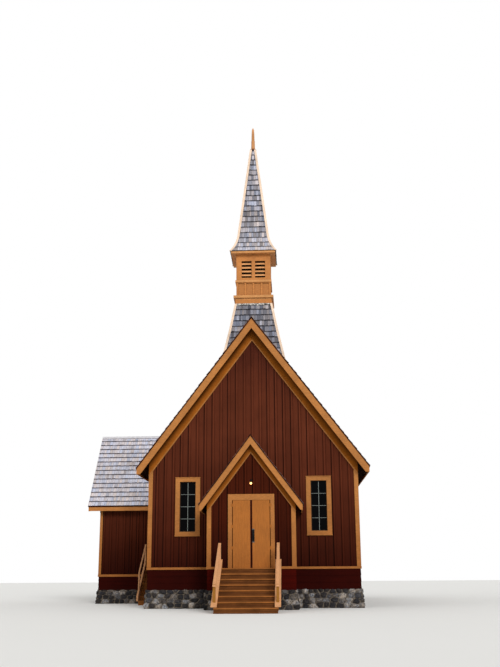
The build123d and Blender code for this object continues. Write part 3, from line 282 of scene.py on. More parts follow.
def paint(names, finish):
    """Gives solids one finish in place of their own."""
    for name in names:
        data = nodes[name].data
        data.materials.clear()
        data.materials.append(finish)


# Node trees
def add(tree, kind, values=(), links=(), **settings):
    """Adds one node, sets its inputs and settings, and links other sockets to its inputs."""
    node = tree.nodes.new("ShaderNode" + kind)
    for key, value in settings.items():
        setattr(node, key, value)
    for key, value in dict(values).items():
        node.inputs[key].default_value = value
    for key, socket in dict(links).items():
        tree.links.new(socket, node.inputs[key])
    return node


def new_finish(name):
    """An empty material with its shader, and the place of each point in the object's own frame."""
    finish = bpy.data.materials.new(name)
    finish.use_nodes = True
    tree = finish.node_tree
    shader = tree.nodes["Principled BSDF"]
    place = add(tree, "TexCoord").outputs["Object"]
    return finish, tree, shader, place


def rgba(value):
    """A colour with full opacity, as the colour sockets ask for. A plain number is a grey."""
    red, green, blue = (value,) * 3 if isinstance(value, float) else value[:3]
    return (red, green, blue, 1.0)


def ramp(tree, factor, *stops):
    """A colour ramp through (level, colour) stops, given from the lowest level up."""
    node = add(tree, "ValToRGB", links={"Fac": factor})
    marks = node.color_ramp.elements
    for mark, (level, value) in ((marks[0], stops[0]), (marks[1], stops[-1])):
        mark.position = level
        mark.color = rgba(value)
    for level, value in stops[1:-1]:
        marks.new(level).color = rgba(value)
    return node.outputs["Color"]


def two_tone(tree, factor, low, high, start=0.3, end=0.7):
    """A colour ramp from one colour to another between two levels of a factor."""
    return ramp(tree, factor, (start, low), (end, high))


def shade(value, factor):
    """A colour made darker or lighter by a factor."""
    return tuple(min(1.0, part * factor) for part in value[:3])


def feed(tree, node, slot, value):
    """Links a socket to an input, or sets the input when the value is a number or a colour."""
    if isinstance(value, bpy.types.NodeSocket):
        tree.links.new(value, node.inputs[slot])
    else:
        node.inputs[slot].default_value = value


def calc(tree, operation, *values):
    """One sum on sockets and numbers."""
    node = add(tree, "Math", operation=operation)
    for slot, value in enumerate(values):
        feed(tree, node, slot, value)
    return node.outputs[0]


def blend(tree, factor, low, high, kind="MIX"):
    """Two colours, sockets or plain, mixed or multiplied by a factor."""
    node = add(tree, "Mix", data_type="RGBA", blend_type=kind)
    feed(tree, node, 0, factor)
    for slot, value in ((6, low), (7, high)):
        feed(tree, node, slot, value if isinstance(value, bpy.types.NodeSocket) else rgba(value))
    return node.outputs[2]


def product(tree, *colours):
    """Several colours multiplied together."""
    result = colours[0]
    for value in colours[1:]:
        result = blend(tree, 1.0, result, value, "MULTIPLY")
    return result


def mark(tree, name):
    """A named value of each point, as a factor."""
    return add(tree, "Attribute", attribute_name=name).outputs["Fac"]


def height_of(tree, place):
    """The height of each point above the ground."""
    return add(tree, "SeparateXYZ", links={"Vector": place}).outputs["Z"]


def faces_down(tree, limit):
    """1 on faces whose normal drops below a limit, and 0 elsewhere."""
    normal = add(tree, "SeparateXYZ", links={"Vector": add(tree, "TexCoord").outputs["Normal"]})
    return calc(tree, "LESS_THAN", normal.outputs["Z"], limit)


def within(tree, place, boxes):
    """1 inside any of some plan rectangles, each given by two corners, and 0 outside them all."""
    found = 0.0
    for (x0, y0), (x1, y1) in boxes:
        away = add(tree, "VectorMath", {1: ((x0 + x1) / 2, (y0 + y1) / 2, 0)}, {0: place},
                   operation="SUBTRACT")
        away = add(tree, "VectorMath", links={0: away.outputs[0]}, operation="ABSOLUTE")
        axes = add(tree, "SeparateXYZ", links={"Vector": away.outputs[0]})
        across = calc(tree, "LESS_THAN", axes.outputs["X"], (x1 - x0) / 2)
        along = calc(tree, "LESS_THAN", axes.outputs["Y"], (y1 - y0) / 2)
        found = calc(tree, "MAXIMUM", found, calc(tree, "MULTIPLY", across, along))
    return found


def noise(tree, place, scale, detail, rough=0.6):
    """Noise whose scale is in cycles per metre, one number or one for each axis."""
    if isinstance(scale, tuple):
        place = add(tree, "Mapping", {"Scale": scale}, {"Vector": place}).outputs["Vector"]
        scale = 1.0
    return add(tree, "TexNoise", {"Scale": scale, "Detail": detail, "Roughness": rough},
               {"Vector": place}).outputs["Fac"]


def relief(tree, shader, height, strength, depth):
    """A bump from a height, at a strength, whose full depth is in metres."""
    bump = add(tree, "Bump", {"Strength": strength, "Distance": depth}, {"Height": height})
    tree.links.new(bump.outputs["Normal"], shader.inputs["Normal"])


def surface(tree, shader, tone, rough, gloss, ior=1.48, metal=0.0):
    """Colour, roughness, the share of the mirror reflection that soiling leaves, index and metal."""
    tree.links.new(tone, shader.inputs["Base Color"])
    for key, value in (("Roughness", rough), ("Specular IOR Level", gloss), ("IOR", ior),
                       ("Metallic", metal)):
        shader.inputs[key].default_value = value


def painted_timber(name, base, scale=(9.0, 9.0, 60.0), contrast=0.16, rough=0.62, bump=0.25, gloss=0.2,
                   collar=None, inside=None, under=1.0, painted_shade=False, darker_low=False, joint_stain_and_nosing_shade=False):
    """Brushed oil paint over planed softwood: soft blotches where it has chalked, and faint grain.
    A collar is a second colour below a height, and the inside of a plan rectangle and faces that look
    down have shades of their own; the finishes use these for painted shade, and a collar also for the
    finial's own dark collar. Boards under a soffit darken up towards it as painted shade, others
    darken down towards the ground, and stair timber is stained in its middle joint and carries
    painted shade under the nosings."""
    finish, tree, shader, place = new_finish(name)
    grain = noise(tree, place, scale, 5.0)
    blotch = noise(tree, place, 1.3, 4.0, 0.65)
    wide = two_tone(tree, blotch, shade(base, 1 - contrast), shade(base, 1 + contrast))
    if collar is not None:
        below = calc(tree, "LESS_THAN", height_of(tree, place), collar[1])
        wide = blend(tree, below, wide, collar[0])
    if inside is not None:
        wide = blend(tree, within(tree, place, inside[0]), wide, inside[1])
    if under < 1.0:
        wide = blend(tree, faces_down(tree, -0.5), wide, shade(base, under))
    # Darker down towards the ground.
    if darker_low:
        tens = calc(tree, "MULTIPLY", height_of(tree, place), 0.1)
        wide = product(tree, wide, two_tone(tree, tens, (0.76, 0.68, 0.52), 1.0, 0.14, 0.42))
    # Painted shade under each nosing, and a stain in the middle joint of each riser.
    if joint_stain_and_nosing_shade:
        part = calc(tree, "FRACT", calc(tree, "DIVIDE", height_of(tree, place), RISER))
        joint = 0.55
        wide = product(tree, wide, ramp(tree, part, (0.28, 1.0), (0.33, joint), (0.38, joint),
                                        (0.43, 1.0), (0.58, 1.0), (0.66, (0.30, 0.28, 0.26))))
    # Painted shade: darker up towards the soffit, as the roof's overhang would shade the boards.
    if painted_shade:
        axes = add(tree, "SeparateXYZ", links={"Vector": place})
        run = calc(tree, "MULTIPLY", calc(tree, "ABSOLUTE", axes.outputs["X"]), PITCH)
        below = calc(tree, "ADD", run, axes.outputs["Z"])
        nave = calc(tree, "ABSOLUTE", calc(tree, "SUBTRACT", NAVE_RIDGE, below))
        porch = calc(tree, "SUBTRACT", VEST_RIDGE, below)
        low = calc(tree, "GREATER_THAN", porch, 0.0)
        depth = add(tree, "Mix", data_type="FLOAT")
        for slot, value in enumerate((low, nave, calc(tree, "MULTIPLY", porch, 1.3))):
            feed(tree, depth, (0, 2, 3)[slot], value)
        dim = two_tone(tree, depth.outputs[0], (0.34, 0.30, 0.28), 1.15, 0.34, 0.78)
        wide = product(tree, wide, dim)
    fine = two_tone(tree, grain, 0.80, 1.12, 0.35, 0.65)
    relief(tree, shader, grain, bump, 0.0015)
    surface(tree, shader, product(tree, wide, fine), rough, gloss)
    return finish


PORCH = [((-VEST_HALF - 0.1, -VEST_DEPTH - 0.1), (VEST_HALF + 0.1, -0.04))]


def stained_boards(name, base, board, joint=None, lining=None, grain=(55.0, 55.0, 1.6),
                   porch=(0.70, 0.52, 0.35)):
    """Rough-sawn pine with an oil stain: each board takes it a little differently, it runs pale and
    dark in narrow streaks along the grain, a painted shadow darkens it beside each batten, it is
    darker towards the ground, partly as splash stain and partly as painted shade, and darker up
    under the rakes as painted shade, the vestibule has its own tone, and the rooms' side is plain
    varnished pine."""
    finish, tree, shader, place = new_finish(name)
    axes = add(tree, "SeparateXYZ", links={"Vector": place})
    count = calc(tree, "DIVIDE", calc(tree, "ADD", axes.outputs["X"], axes.outputs["Y"]), board)
    pick = add(tree, "TexWhiteNoise", links={"W": calc(tree, "FLOOR", count)}, noise_dimensions="1D")
    streak = noise(tree, place, grain, 6.0, 0.7)
    boards = two_tone(tree, pick.outputs["Value"], shade(base, 0.92), shade(base, 1.09), 0.0, 1.0)
    streaks = two_tone(tree, streak, 0.80, (1.18, 1.16, 1.14), 0.32, 0.68)
    patches = two_tone(tree, noise(tree, place, 0.55, 3.0), (0.85, 0.84, 0.84), 1.12, 0.35,
                       0.65)
    # Painted shade with splash stain: darker towards the ground, partly stain and partly shade, and darker
    # at the top, in the rakes' shade.
    height = calc(tree, "MULTIPLY", axes.outputs["Z"], 0.1)
    grime_and_painted_shade = ramp(tree, height, (0.13, (0.26, 0.13, 0.10)), (0.30, (0.63, 0.52, 0.50)),
                 (0.64, (1.0, 1.0, 1.06)), (0.78, (1.0, 1.0, 1.06)), (1.0, (0.72, 0.68, 0.84)))
    front = blend(tree, within(tree, place, PORCH), 1.0, porch)
    stain = product(tree, boards, streaks, patches, grime_and_painted_shade, front)
    if joint is not None:
        # Painted shadow beside each batten, darkest on one side, its strength varying from board to board.
        across = calc(tree, "FRACT", count)
        near, far = joint / board, (joint + 0.042) / board
        batten_shadow = ramp(tree, across, (near, (0.55, 0.5, 0.5)), (far, 1.0),
                    (1 - far - 0.04, 1.0), (1 - near - 0.05, (0.10, 0.07, 0.07)))
        shadow_weight = two_tone(tree, pick.outputs["Color"], 0.15, 1.0, 0.1, 0.6)
        stain = product(tree, stain, blend(tree, shadow_weight, 1.0, batten_shadow))
    if lining is not None:
        t = WALL_DEPTH
        rooms = (((-NAVE_HALF + t, t), (NAVE_HALF - t, NAVE_LENGTH - t)),
                 ((-VEST_HALF + t, -VEST_DEPTH + t), (VEST_HALF - t, -0.01)),
                 ((WING_END + t, WING_FRONT + t), (-NAVE_HALF + 0.2, WING_REAR - t)))
        pine = two_tone(tree, streak, shade(lining, 0.75), shade(lining, 1.2))
        stain = blend(tree, within(tree, place, rooms), stain, pine)
    relief(tree, shader, streak, 0.5, 0.002)
    surface(tree, shader, stain, 0.78, 0.05, 1.45)
    return finish


def split_shingles(name, dark, middle, pale):
    """Split cedar silvered by weather: every shingle has its own grey, streaked down its grain;
    painted shade makes its butt nearly black and its sides brown, and a painted shadow darkens the
    strip under the next course's butt."""
    finish, tree, shader, place = new_finish(name)
    tone = mark(tree, "tone")
    grey = ramp(tree, tone, (0.0, dark), (0.5, middle), (1.0, pale))
    hue = mark(tree, "hue")
    tint = two_tone(tree, hue, (0.90, 0.98, 1.14), (1.09, 0.99, 0.92), 0.0, 1.0)
    streak = noise(tree, place, (45.0, 45.0, 9.0), 5.0, 0.65)
    streaks = two_tone(tree, streak, (0.74, 0.74, 0.76), (1.2, 1.19, 1.17), 0.32, 0.68)
    stains = two_tone(tree, noise(tree, place, 0.9, 4.0), (0.86, 0.84, 0.82), (1.08, 1.08, 1.10), 0.35,
                      0.65)
    lift = mark(tree, "lift")
    run = mark(tree, "run")
    # Painted shade: the butt near black and the sides dark brown, on all faces but the top.
    low = blend(tree, calc(tree, "GREATER_THAN", run, 0.02), (0.04, 0.035, 0.035), (0.26, 0.085, 0.04))
    sides = blend(tree, two_tone(tree, lift, 0.0, 1.0, 0.92, 0.99), low,
                  1.0)
    # Painted shadow on the strip that the next course's butt covers.
    painted_shade = two_tone(tree, run, 1.0, (0.14, 0.13, 0.14), 0.59, 0.74)
    top = product(tree, grey, tint, streaks, stains, sides, painted_shade)
    relief(tree, shader, streak, 0.5, 0.003)
    surface(tree, shader, top, 0.85, 0.2)
    return finish


def roof_solid(name, top, edge, under):
    """A roof's own solids: one tone on top, a second on steep faces and ends, and a third where they
    face down; the finishes use the second and third as painted shade, and the ridge's top tone as
    painted sun.
    """
    finish, tree, shader, place = new_finish(name)
    grain = noise(tree, place, (9.0, 50.0, 9.0), 5.0)
    fine = two_tone(tree, grain, 0.78, 1.15, 0.35, 0.65)
    # Painted shade on the steep faces and ends and on the faces that look down, as the finishes set them.
    tone = blend(tree, faces_down(tree, 0.3), top, edge)
    tone = blend(tree, faces_down(tree, -0.3), tone, under)
    relief(tree, shader, grain, 0.3, 0.002)
    surface(tree, shader, product(tree, tone, fine), 0.8, 0.05)
    return finish


def field_stone(name, mortar, middle, pale):
    """Rough granite field stones in pale mortar: each stone its own dark grey, speckled by its grain."""
    finish, tree, shader, place = new_finish(name)
    tone = mark(tree, "tone")
    grey = ramp(tree, tone, (0.10, shade(middle, 0.35)), (0.60, middle), (1.0, pale))
    speck = noise(tree, place, 15.0, 6.0, 0.75)
    specks = two_tone(tree, speck, (0.28, 0.28, 0.29), (1.9, 1.84, 1.75), 0.38, 0.64)
    veins = two_tone(tree, noise(tree, place, 5.0, 4.0), (0.86, 0.94, 1.06), (1.14, 1.03, 0.90), 0.4, 0.6)
    gap = calc(tree, "MULTIPLY", mark(tree, "bed"), 10.0)
    laid = two_tone(tree, gap, 0.0, 1.0, 0.12, 0.28)
    bed = product(tree, mortar, two_tone(tree, speck, (0.35, 0.34, 0.33), (1.25, 1.22, 1.18), 0.42, 0.60))
    face = blend(tree, laid, bed, product(tree, grey, specks, veins))
    relief(tree, shader, speck, 0.7, 0.006)
    surface(tree, shader, face, 0.9, 0.2, 1.54)
    return finish


def forged_iron(name, base, ends=None):
    """Forged iron blacked with oil: dark, with dull highlights broken by hammer marks. The ends of a
    pull, away from its middle height, are a paler grey."""
    finish, tree, shader, place = new_finish(name)
    marks = noise(tree, place, 120.0, 5.0)
    black = two_tone(tree, noise(tree, place, 40.0, 3.0), shade(base, 0.7), shade(base, 1.6))
    if ends is not None:
        tone, middle, half = ends
        away = calc(tree, "ABSOLUTE", calc(tree, "SUBTRACT", height_of(tree, place), middle))
        black = blend(tree, calc(tree, "GREATER_THAN", away, half), black, tone)
    relief(tree, shader, marks, 0.35, 0.0006)
    surface(tree, shader, black, 0.55, 0.12, 1.5, 0.15)
    return finish


def old_glass(name, base):
    """Old drawn sheet glass: a near-black pane, painted shade for the dark room behind it, with a slightly
    wavy reflection.
    """
    finish, tree, shader, place = new_finish(name)
    wave = noise(tree, place, 3.0, 1.0)
    face = two_tone(tree, wave, shade(base, 0.8), shade(base, 1.3))
    relief(tree, shader, wave, 0.15, 0.02)
    surface(tree, shader, face, 0.05, 0.015, 1.52)
    shader.inputs["Transmission Weight"].default_value = 0.02
    return finish


def lead_sheet(name, base):
    """Soft sheet metal in pale and dark patches, the pale ones partly weathered metal and partly painted
    highlight on the shingle tips, dented where it was dressed down.
    """
    finish, tree, shader, place = new_finish(name)
    dents_and_highlights = noise(tree, place, 18.0, 3.0)
    face = two_tone(tree, dents_and_highlights, shade(base, 0.12), shade(base, 1.1), 0.42, 0.62)
    relief(tree, shader, dents_and_highlights, 0.5, 0.006)
    surface(tree, shader, face, 0.6, 0.4, 1.5, 0.3)
    return finish


def gap_shade_felt(name, base):
    """Dark felt: matt, with a short nap; near black, so that it also stands as painted shade in the doors'
    meeting gap.
    """
    finish, tree, shader, place = new_finish(name)
    nap = noise(tree, place, 400.0, 4.0)
    face = two_tone(tree, nap, shade(base, 0.6), shade(base, 1.4))
    relief(tree, shader, nap, 0.4, 0.0008)
    surface(tree, shader, face, 0.95, 0.05)
    return finish


def lit_bulb(name, base):
    """A frosted bulb that is switched on: warm, brightest in its middle."""
    finish, tree, shader, place = new_finish(name)
    glow = two_tone(tree, noise(tree, place, 60.0, 2.0), shade(base, 0.85), shade(base, 1.0))
    tree.links.new(glow, shader.inputs["Emission Color"])
    shader.inputs["Emission Strength"].default_value = 3.2
    surface(tree, shader, glow, 0.3, 0.5)
    return finish


def studio_floor(name, base):
    """A plain matt floor with a trace of mottling."""
    finish, tree, shader, place = new_finish(name)
    face = two_tone(tree, noise(tree, place, 0.3, 2.0), shade(base, 0.995), shade(base, 1.0))
    surface(tree, shader, face, 0.95, 0.1)
    return finish


def about_steeple(half):
    """A square in plan about the steeple's middle."""
    return [((-half, STEEPLE_Y - half), (half, STEEPLE_Y + half))]


def post_front_shade():
    """The front faces of the stair's two lower posts, in plan, where their painted shade goes."""
    middle = STAIR_HALF + CAP_WIDTH / 2
    return [((STAIR_X + side * middle - POST_HALF, POST_FRONT - 0.005),
             (STAIR_X + side * middle + POST_HALF, POST_FRONT + 0.01)) for side in (-1, 1)]


FINISHES = {}


def finishes():
    """All the materials, made once."""
    if FINISHES:
        return FINISHES
    tones = bpy.context.scene.chapel_colours
    sizes = bpy.context.scene.chapel_sizes
    FINISHES.update({
        # The stained boards carry painted shade: a shadow beside each batten, and darker at the ground and
        # under the rakes.
        "siding": stained_boards("stained_siding_and_painted_shade", tones.siding, sizes.board, sizes.batten / 2,
                                 tones.lining),
        "battens": stained_boards("stained_battens_and_painted_shade", shade(tones.siding, 1.12), sizes.board),
        "skirt": stained_boards("stained_skirt_and_painted_shade", tones.skirt, 2.4, grain=(1.5, 1.5, 14.0),
                                porch=(1.9, 1.3, 0.8)),
        "trim": painted_timber("painted_trim", tones.trim),
        "casing": painted_timber("painted_casings", tones.trim, darker_low=True),
        # A darker copy of the trim paint as painted shade, darker still up towards the soffit.
        "frieze": painted_timber("frieze_paint_and_painted_shade", tones.frieze, gloss=0.05, painted_shade=True),
        # Painted shade: the leaves' faces beside the meeting edge take the skirt's dark red, for the shade
        # in the gap.
        "door": painted_timber("door_paint_and_painted_gap_shade", tones.door, (70.0, 70.0, 3.0), 0.10,
                               inside=([((-PLANKS_INNER, -1.8), (PLANKS_INNER, -1.5))], tones.skirt)),
        # Painted shade: near black on faces that look down, and darker in the sunk panels and reveals.
        "belfry": painted_timber("belfry_paint_and_painted_shade", tones.belfry, under=0.1,
                                 inside=(about_steeple(BELFRY_INNER), shade(tones.belfry, 0.9))),
        # Painted shade: the plinth band below the ledge takes the darker belfry paint.
        "moulding": painted_timber("moulding_paint_and_painted_shade", tones.moulding,
                                   collar=(tones.belfry, BASE_TOP + 0.18)),
        # Painted light and shade: a lighter copy of the belfry paint for the slats, near black behind them
        # and on faces that look down.
        "louvres": painted_timber("louvre_paint_painted_light_and_shade", tones.louvre, gloss=0.05, under=0.05,
                                  inside=(about_steeple(LOUVRE_SHADE_HALF), shade(tones.louvre, 0.03))),
        # Paler than the trim: partly own paint, partly painted highlight.
        "hips": painted_timber("hip_paint_and_painted_highlight", tones.hips, (40.0, 40.0, 4.0)),
        "finial": painted_timber("weathered_finial", tones.finial, (40.0, 40.0, 4.0), 0.3,
                                 collar=(tones.collar, SPIRE_TOP + 0.07)),
        # Painted shade on the shingles' butts and sides, and a painted shadow under each course's butt.
        "shingles": split_shingles("silvered_shingles_and_painted_shade", tones.shingle_dark, tones.shingle,
                                   tones.shingle_pale),
        # Painted shade: near black where the roof solids show between shingles and at their ends, and the
        # soffit colour beneath.
        "roof": roof_solid("roof_edges_and_soffit_painted_shade", tones.edge, tones.edge, tones.soffit),
        # Painted sun and shade: the ridge boards' tops take the palest shingle colour, their sides and
        # undersides near black.
        "ridge": roof_solid("ridge_boards_painted_sun_and_shade", tones.shingle_pale, tones.edge, tones.edge),
        # Pale patches, partly painted highlight on the shingle tips.
        "flashing": lead_sheet("flashing_with_painted_highlights", tones.flashing),
        "stones": field_stone("granite_field_stone", tones.mortar, tones.stone, tones.stone_pale),
        "mortar": field_stone("lime_mortar", tones.mortar, tones.mortar, tones.stone),
        "stair": painted_timber("stained_stair_timber", tones.stair, (3.0, 60.0, 60.0), 0.28, 0.7, 0.4,
                                0.1),
        # A darker copy of the stair stain as painted shade, with painted shade under each nosing.
        "riser": painted_timber("riser_stain_and_painted_shade", tones.riser, (3.0, 60.0, 60.0), 0.28, 0.75, 0.4,
                                0.05, joint_stain_and_nosing_shade=True),
        # Painted shade on the fronts of the two lower posts.
        "rail": painted_timber("rail_paint_and_painted_post_shade", tones.rail, (60.0, 8.0, 60.0), 0.18,
                               inside=(post_front_shade(), tones.post)),
        "sash": painted_timber("painted_sash", tones.sash),
        "bars": painted_timber("painted_window_bars", tones.bar, (40.0, 40.0, 40.0), 0.1),
        "glass": old_glass("sheet_glass_painted_room_shade", tones.glass),
        "iron": forged_iron("blacked_iron", tones.iron),
        "pull": forged_iron("blacked_pull", tones.iron, (tones.pull_end, HANDLE_Z, HANDLE_HALF - 0.03)),
        # A near-black felt seal, partly painted shade in the meeting gap.
        "strip": gap_shade_felt("felt_seal_and_gap_shade", tones.strip),
        "bulb": lit_bulb("lit_bulb", tones.bulb),
        "boards": painted_timber("worn_pine_floor", linear("#7d5a3a"), (60.0, 3.0, 60.0), 0.2, 0.5),
    })
    return FINISHES


# Walls
def flat(*pairs):
    """Points or ways in plan as arrays at height 0."""
    return (np.array((x, y, 0.0)) for x, y in pairs)


def outlines(proud):
    """The plan of the outer walls, each corner moved out: the path round the nave and the vestibule,
    and the one round the wing, both with the building on their left."""
    n, v, d = NAVE_HALF + proud, VEST_HALF + proud, -VEST_DEPTH - proud
    front, rear, end = WING_FRONT - proud, WING_REAR + proud, NAVE_LENGTH + proud
    nave = [(-n, front), (-n, -proud), (-v, -proud), (-v, d), (v, d), (v, -proud), (n, -proud), (n, end),
            (-n, end), (-n, rear)]
    return nave, [(-n, rear), (WING_END - proud, rear), (WING_END - proud, front), (-n, front)]


def wall_frames():
    """Each outer wall: a point where it starts, the way along it, its outward way, its extent along,
    the height of its foot, its top as a function of the distance along, and what it skirts, each by
    its middle, half its width and its two heights."""
    def gable(line, middle=0.0):
        return lambda u: line - PITCH * np.abs(u - middle)

    def level(soffit, half):
        return lambda u: np.full_like(np.asarray(u, float), soffit - PITCH * half)

    def window(middle, drop=0.0):
        """What a window's casing covers."""
        return (middle, WINDOW_HALF + WINDOW_CASING + 0.01, WINDOW_SILL - WINDOW_CASING - drop,
                WINDOW_TOP + WINDOW_CASING - drop)

    ahead, right, left, front, rear = (0, 1), (1, 0), (-1, 0), (0, -1), (0, 1)
    n, v, d, table, low_table = NAVE_HALF, VEST_HALF, VEST_DEPTH, TABLE_TOP, WING_TABLE_TOP
    pair = [window(-WINDOW_X), window(WINDOW_X)]
    side = [window(y) for y in SIDE_STATIONS]
    nave_eave = level(NAVE_RIDGE - NAVE_ROOF_DEPTH, n)
    vest_eave = level(VEST_RIDGE - VEST_ROOF_DEPTH, v)
    wing_eave = level(WING_RIDGE - NAVE_ROOF_DEPTH, WING_HALF)
    return [
        # The nave's front, rear and right side, and its left side before and behind the wing
        ((0, 0), right, front, -n, n, table, gable(FRIEZE_LINE), pair + [(0, v, 0, VEST_COVERS)]),
        ((0, NAVE_LENGTH), left, rear, -n, n, table, gable(FRIEZE_LINE), pair),
        ((n, 0), ahead, right, 0, NAVE_LENGTH, table, nave_eave, side),
        ((-n, 0), ahead, left, 0, WING_FRONT, table, nave_eave, side[:1]),
        ((-n, 0), ahead, left, WING_REAR, NAVE_LENGTH, table, nave_eave, side[3:]),
        # The vestibule's front and its two sides
        ((0, -d), right, front, -v, v, table, gable(VEST_FRIEZE_LINE),
         [(0, DOOR_HALF + DOOR_CASING, 0, DOOR_TOP + DOOR_HEAD_CASING)]),
        ((v, 0), ahead, right, -d, 0, table, vest_eave, []),
        ((-v, 0), ahead, left, -d, 0, table, vest_eave, []),
        # The wing's front, rear and end
        ((0, WING_FRONT), right, front, WING_END, -n, low_table, wing_eave,
         [(SIDE_DOOR_X, SIDE_DOOR_HALF, 0, FLOOR_TOP + SIDE_DOOR_HEIGHT)]),
        ((0, WING_REAR), right, rear, WING_END, -n, low_table, wing_eave,
         [window(WING_REAR_WINDOW_X, WING_WINDOW_DROP)]),
        ((WING_END, 0), ahead, left, WING_FRONT, WING_REAR, low_table,
         gable(WING_FRIEZE_LINE, WING_CENTRE), [window(WING_CENTRE, WING_WINDOW_DROP)]),
    ]


def batten_rings(wall, spacing, width, thick):
    """Strips over the joints of one wall: a chamfered profile carried up from the foot to the rake,
    with every gap that a casing leaves cut out of it."""
    at, along, out, u0, u1, foot, top, gaps = wall
    at, along, out = flat(at, along, out)
    offset = at[0] + at[1]
    sign = along[0] + along[1]
    places = []
    for step in range(-60, 61):
        u = (step * spacing - offset) * sign
        if u0 + CORNER_BOARD * 0.8 < u < u1 - CORNER_BOARD * 0.8:
            places.append(u)
    half = width / 2
    chamfer = thick * 0.35
    profile = np.array([(-half, 0), (-half, thick - chamfer), (-half + chamfer, thick),
                        (half - chamfer, thick), (half, thick - chamfer), (half, 0)])
    rings = []
    for u in places:
        us = u + profile[:, 0]
        roof = np.asarray(top(us), float)
        spans = [(foot, None)]
        for centre, reach, low, high in sorted(gaps, key=lambda g: g[2]):
            if abs(u - centre) < reach + half:
                start, _ = spans.pop()
                if low > start + 0.02:
                    spans.append((start, low))
                spans.append((high, None))
        for low, high in spans:
            ends = roof if high is None else np.full(len(us), high)
            if (ends - low).min() < 0.03:
                continue
            base = at + us[:, None] * along + profile[:, 1:] * out
            rings.append([base + np.array((0, 0, low)), base + ends[:, None] * np.array((0, 0, 1.0))])
    return rings


def skirt_rings(corners, low, high, rows=3, thick=0.022, gap=0.006):
    """Level boards between the stones and the water table, each a rectangle carried along a wall of a
    path that has the building on its left."""
    corners = list(flat(*corners))
    step = (high - low) / rows
    rings = []
    for start, end in zip(corners, corners[1:]):
        way = (end - start) / np.linalg.norm(end - start)
        out = np.array((way[1], -way[0], 0.0))
        for row in range(rows):
            z0 = low + row * step + gap / 2
            z1 = low + (row + 1) * step - gap / 2
            profile = [(0, z0), (thick, z0), (thick, z0 + 0.012), (thick * 0.55, z1), (0, z1)]
            rings.append([[p + out * o + np.array((0, 0, z)) for o, z in profile] for p in (start, end)])
    return rings


class CHAPEL_OT_siding(bpy.types.Operator):
    """Battens over the joints of the stained boards, and level boards on the skirt"""
    bl_idname = "chapel.siding"
    bl_label = "Siding"

    def execute(self, context):
        sizes = context.scene.chapel_sizes
        looks = finishes()
        paint([name for name in nodes if "wall" in name and not name.startswith("belfry")],
              looks["siding"])
        rings = []
        for wall in wall_frames():
            rings += batten_rings(wall, sizes.board, sizes.batten, sizes.batten_thick)
        carried("siding_battens", rings, finish=looks["battens"], slot="red_siding")
        nave, wing = outlines(0.0)
        rings = skirt_rings(nave, FOUNDATION_TOP, TABLE_BOTTOM)
        rings += skirt_rings(wing, WING_FOUNDATION_TOP, WING_TABLE_BOTTOM)
        carried("skirt_boards", rings, finish=looks["skirt"], slot="red_siding")
        return {"FINISHED"}


# Shingles
def shingle_rings(profile, limits, out, along, origin, sizes, seed, keep=None):
    """Courses of shingles on one face: the face's edge profile, (distance out, height) from its eave
    up, is walked in equal steps, and each step is a row of wedges of random widths. A wedge is thick
    at its lower end, thins to nothing a quarter step past the next row, and ends at the row's limits."""
    rng = np.random.default_rng(seed)
    profile = np.asarray(profile, float)
    steps = np.hypot(*np.diff(profile, axis=0).T)
    walked = np.concatenate([[0], np.cumsum(steps)])
    total = walked[-1]
    out, along = np.array(out, float), np.array(along, float)
    origin = np.array(origin, float)
    rows = max(1, int(round(total / sizes.exposure)))
    exposure = total / rows
    rings, tones = [], []

    def place(s, u, lift):
        """The point at a distance up the profile and along the face, lifted square off it."""
        s = np.clip(s, 0, total)
        o = np.interp(s, walked, profile[:, 0])
        z = np.interp(s, walked, profile[:, 1])
        ahead = np.clip(s + 0.02, 0, total)
        behind = np.clip(s - 0.02, 0, total)
        do = np.interp(ahead, walked, profile[:, 0]) - np.interp(behind, walked, profile[:, 0])
        dz = np.interp(ahead, walked, profile[:, 1]) - np.interp(behind, walked, profile[:, 1])
        size = np.hypot(do, dz)
        point = origin + (o + dz / size * lift)[..., None] * out + u[..., None] * along
        point[..., 2] += z - do / size * lift
        return point

    for row in range(rows):
        s0 = row * exposure
        s1 = min(total, s0 + exposure * 1.25)
        low_left, low_right = limits(s0)
        high_left, high_right = limits(s1)
        left, right = min(low_left, high_left), max(low_right, high_right)
        if right - left < 0.01:
            continue
        widths = rng.uniform(0.6, 1.4, int((right - left) / sizes.shingle * 1.1) + 4) * sizes.shingle
        edges = left - rng.uniform(0, sizes.shingle) + np.concatenate([[0], np.cumsum(widths)])
        gap = 0.003
        a, b = edges[:-1] + gap, edges[1:] - gap
        lower = np.clip((a, b), low_left, low_right)
        upper = np.clip((a, b), high_left, high_right)
        good = (lower[1] - lower[0]) + (upper[1] - upper[0]) > 0.015
        lower, upper = lower[:, good], upper[:, good]
        count = good.sum()
        if count == 0:
            continue
        butt = sizes.butt * rng.uniform(0.8, 1.25, count)
        slip = rng.normal(0, 0.006, count)
        s_low = np.clip(s0 + slip, 0, total) if row else np.full(count, s0)
        s_high = np.full(count, s1)
        zero = np.full(count, -0.002)
        ends = []
        for s, (u0, u1), top in ((s_low, lower, butt), (s_high, upper, butt * 0.18)):
            corners = ((u0, zero), (u1, zero), (u1, top), (u0, top))
            ends.append(np.stack([place(s, u, lift) for u, lift in corners], axis=1))
        both = np.stack(ends, axis=1)
        tone = rng.normal(0.5, 0.19, count)
        if keep is not None:
            centre = both.mean(axis=(1, 2))
            wanted = keep(centre)
            both, tone = both[wanted], tone[wanted]
        rings.append(both)
        tones.append(tone)
    tones = np.concatenate(tones)
    return np.concatenate(rings), tones - tones.mean() + 0.5


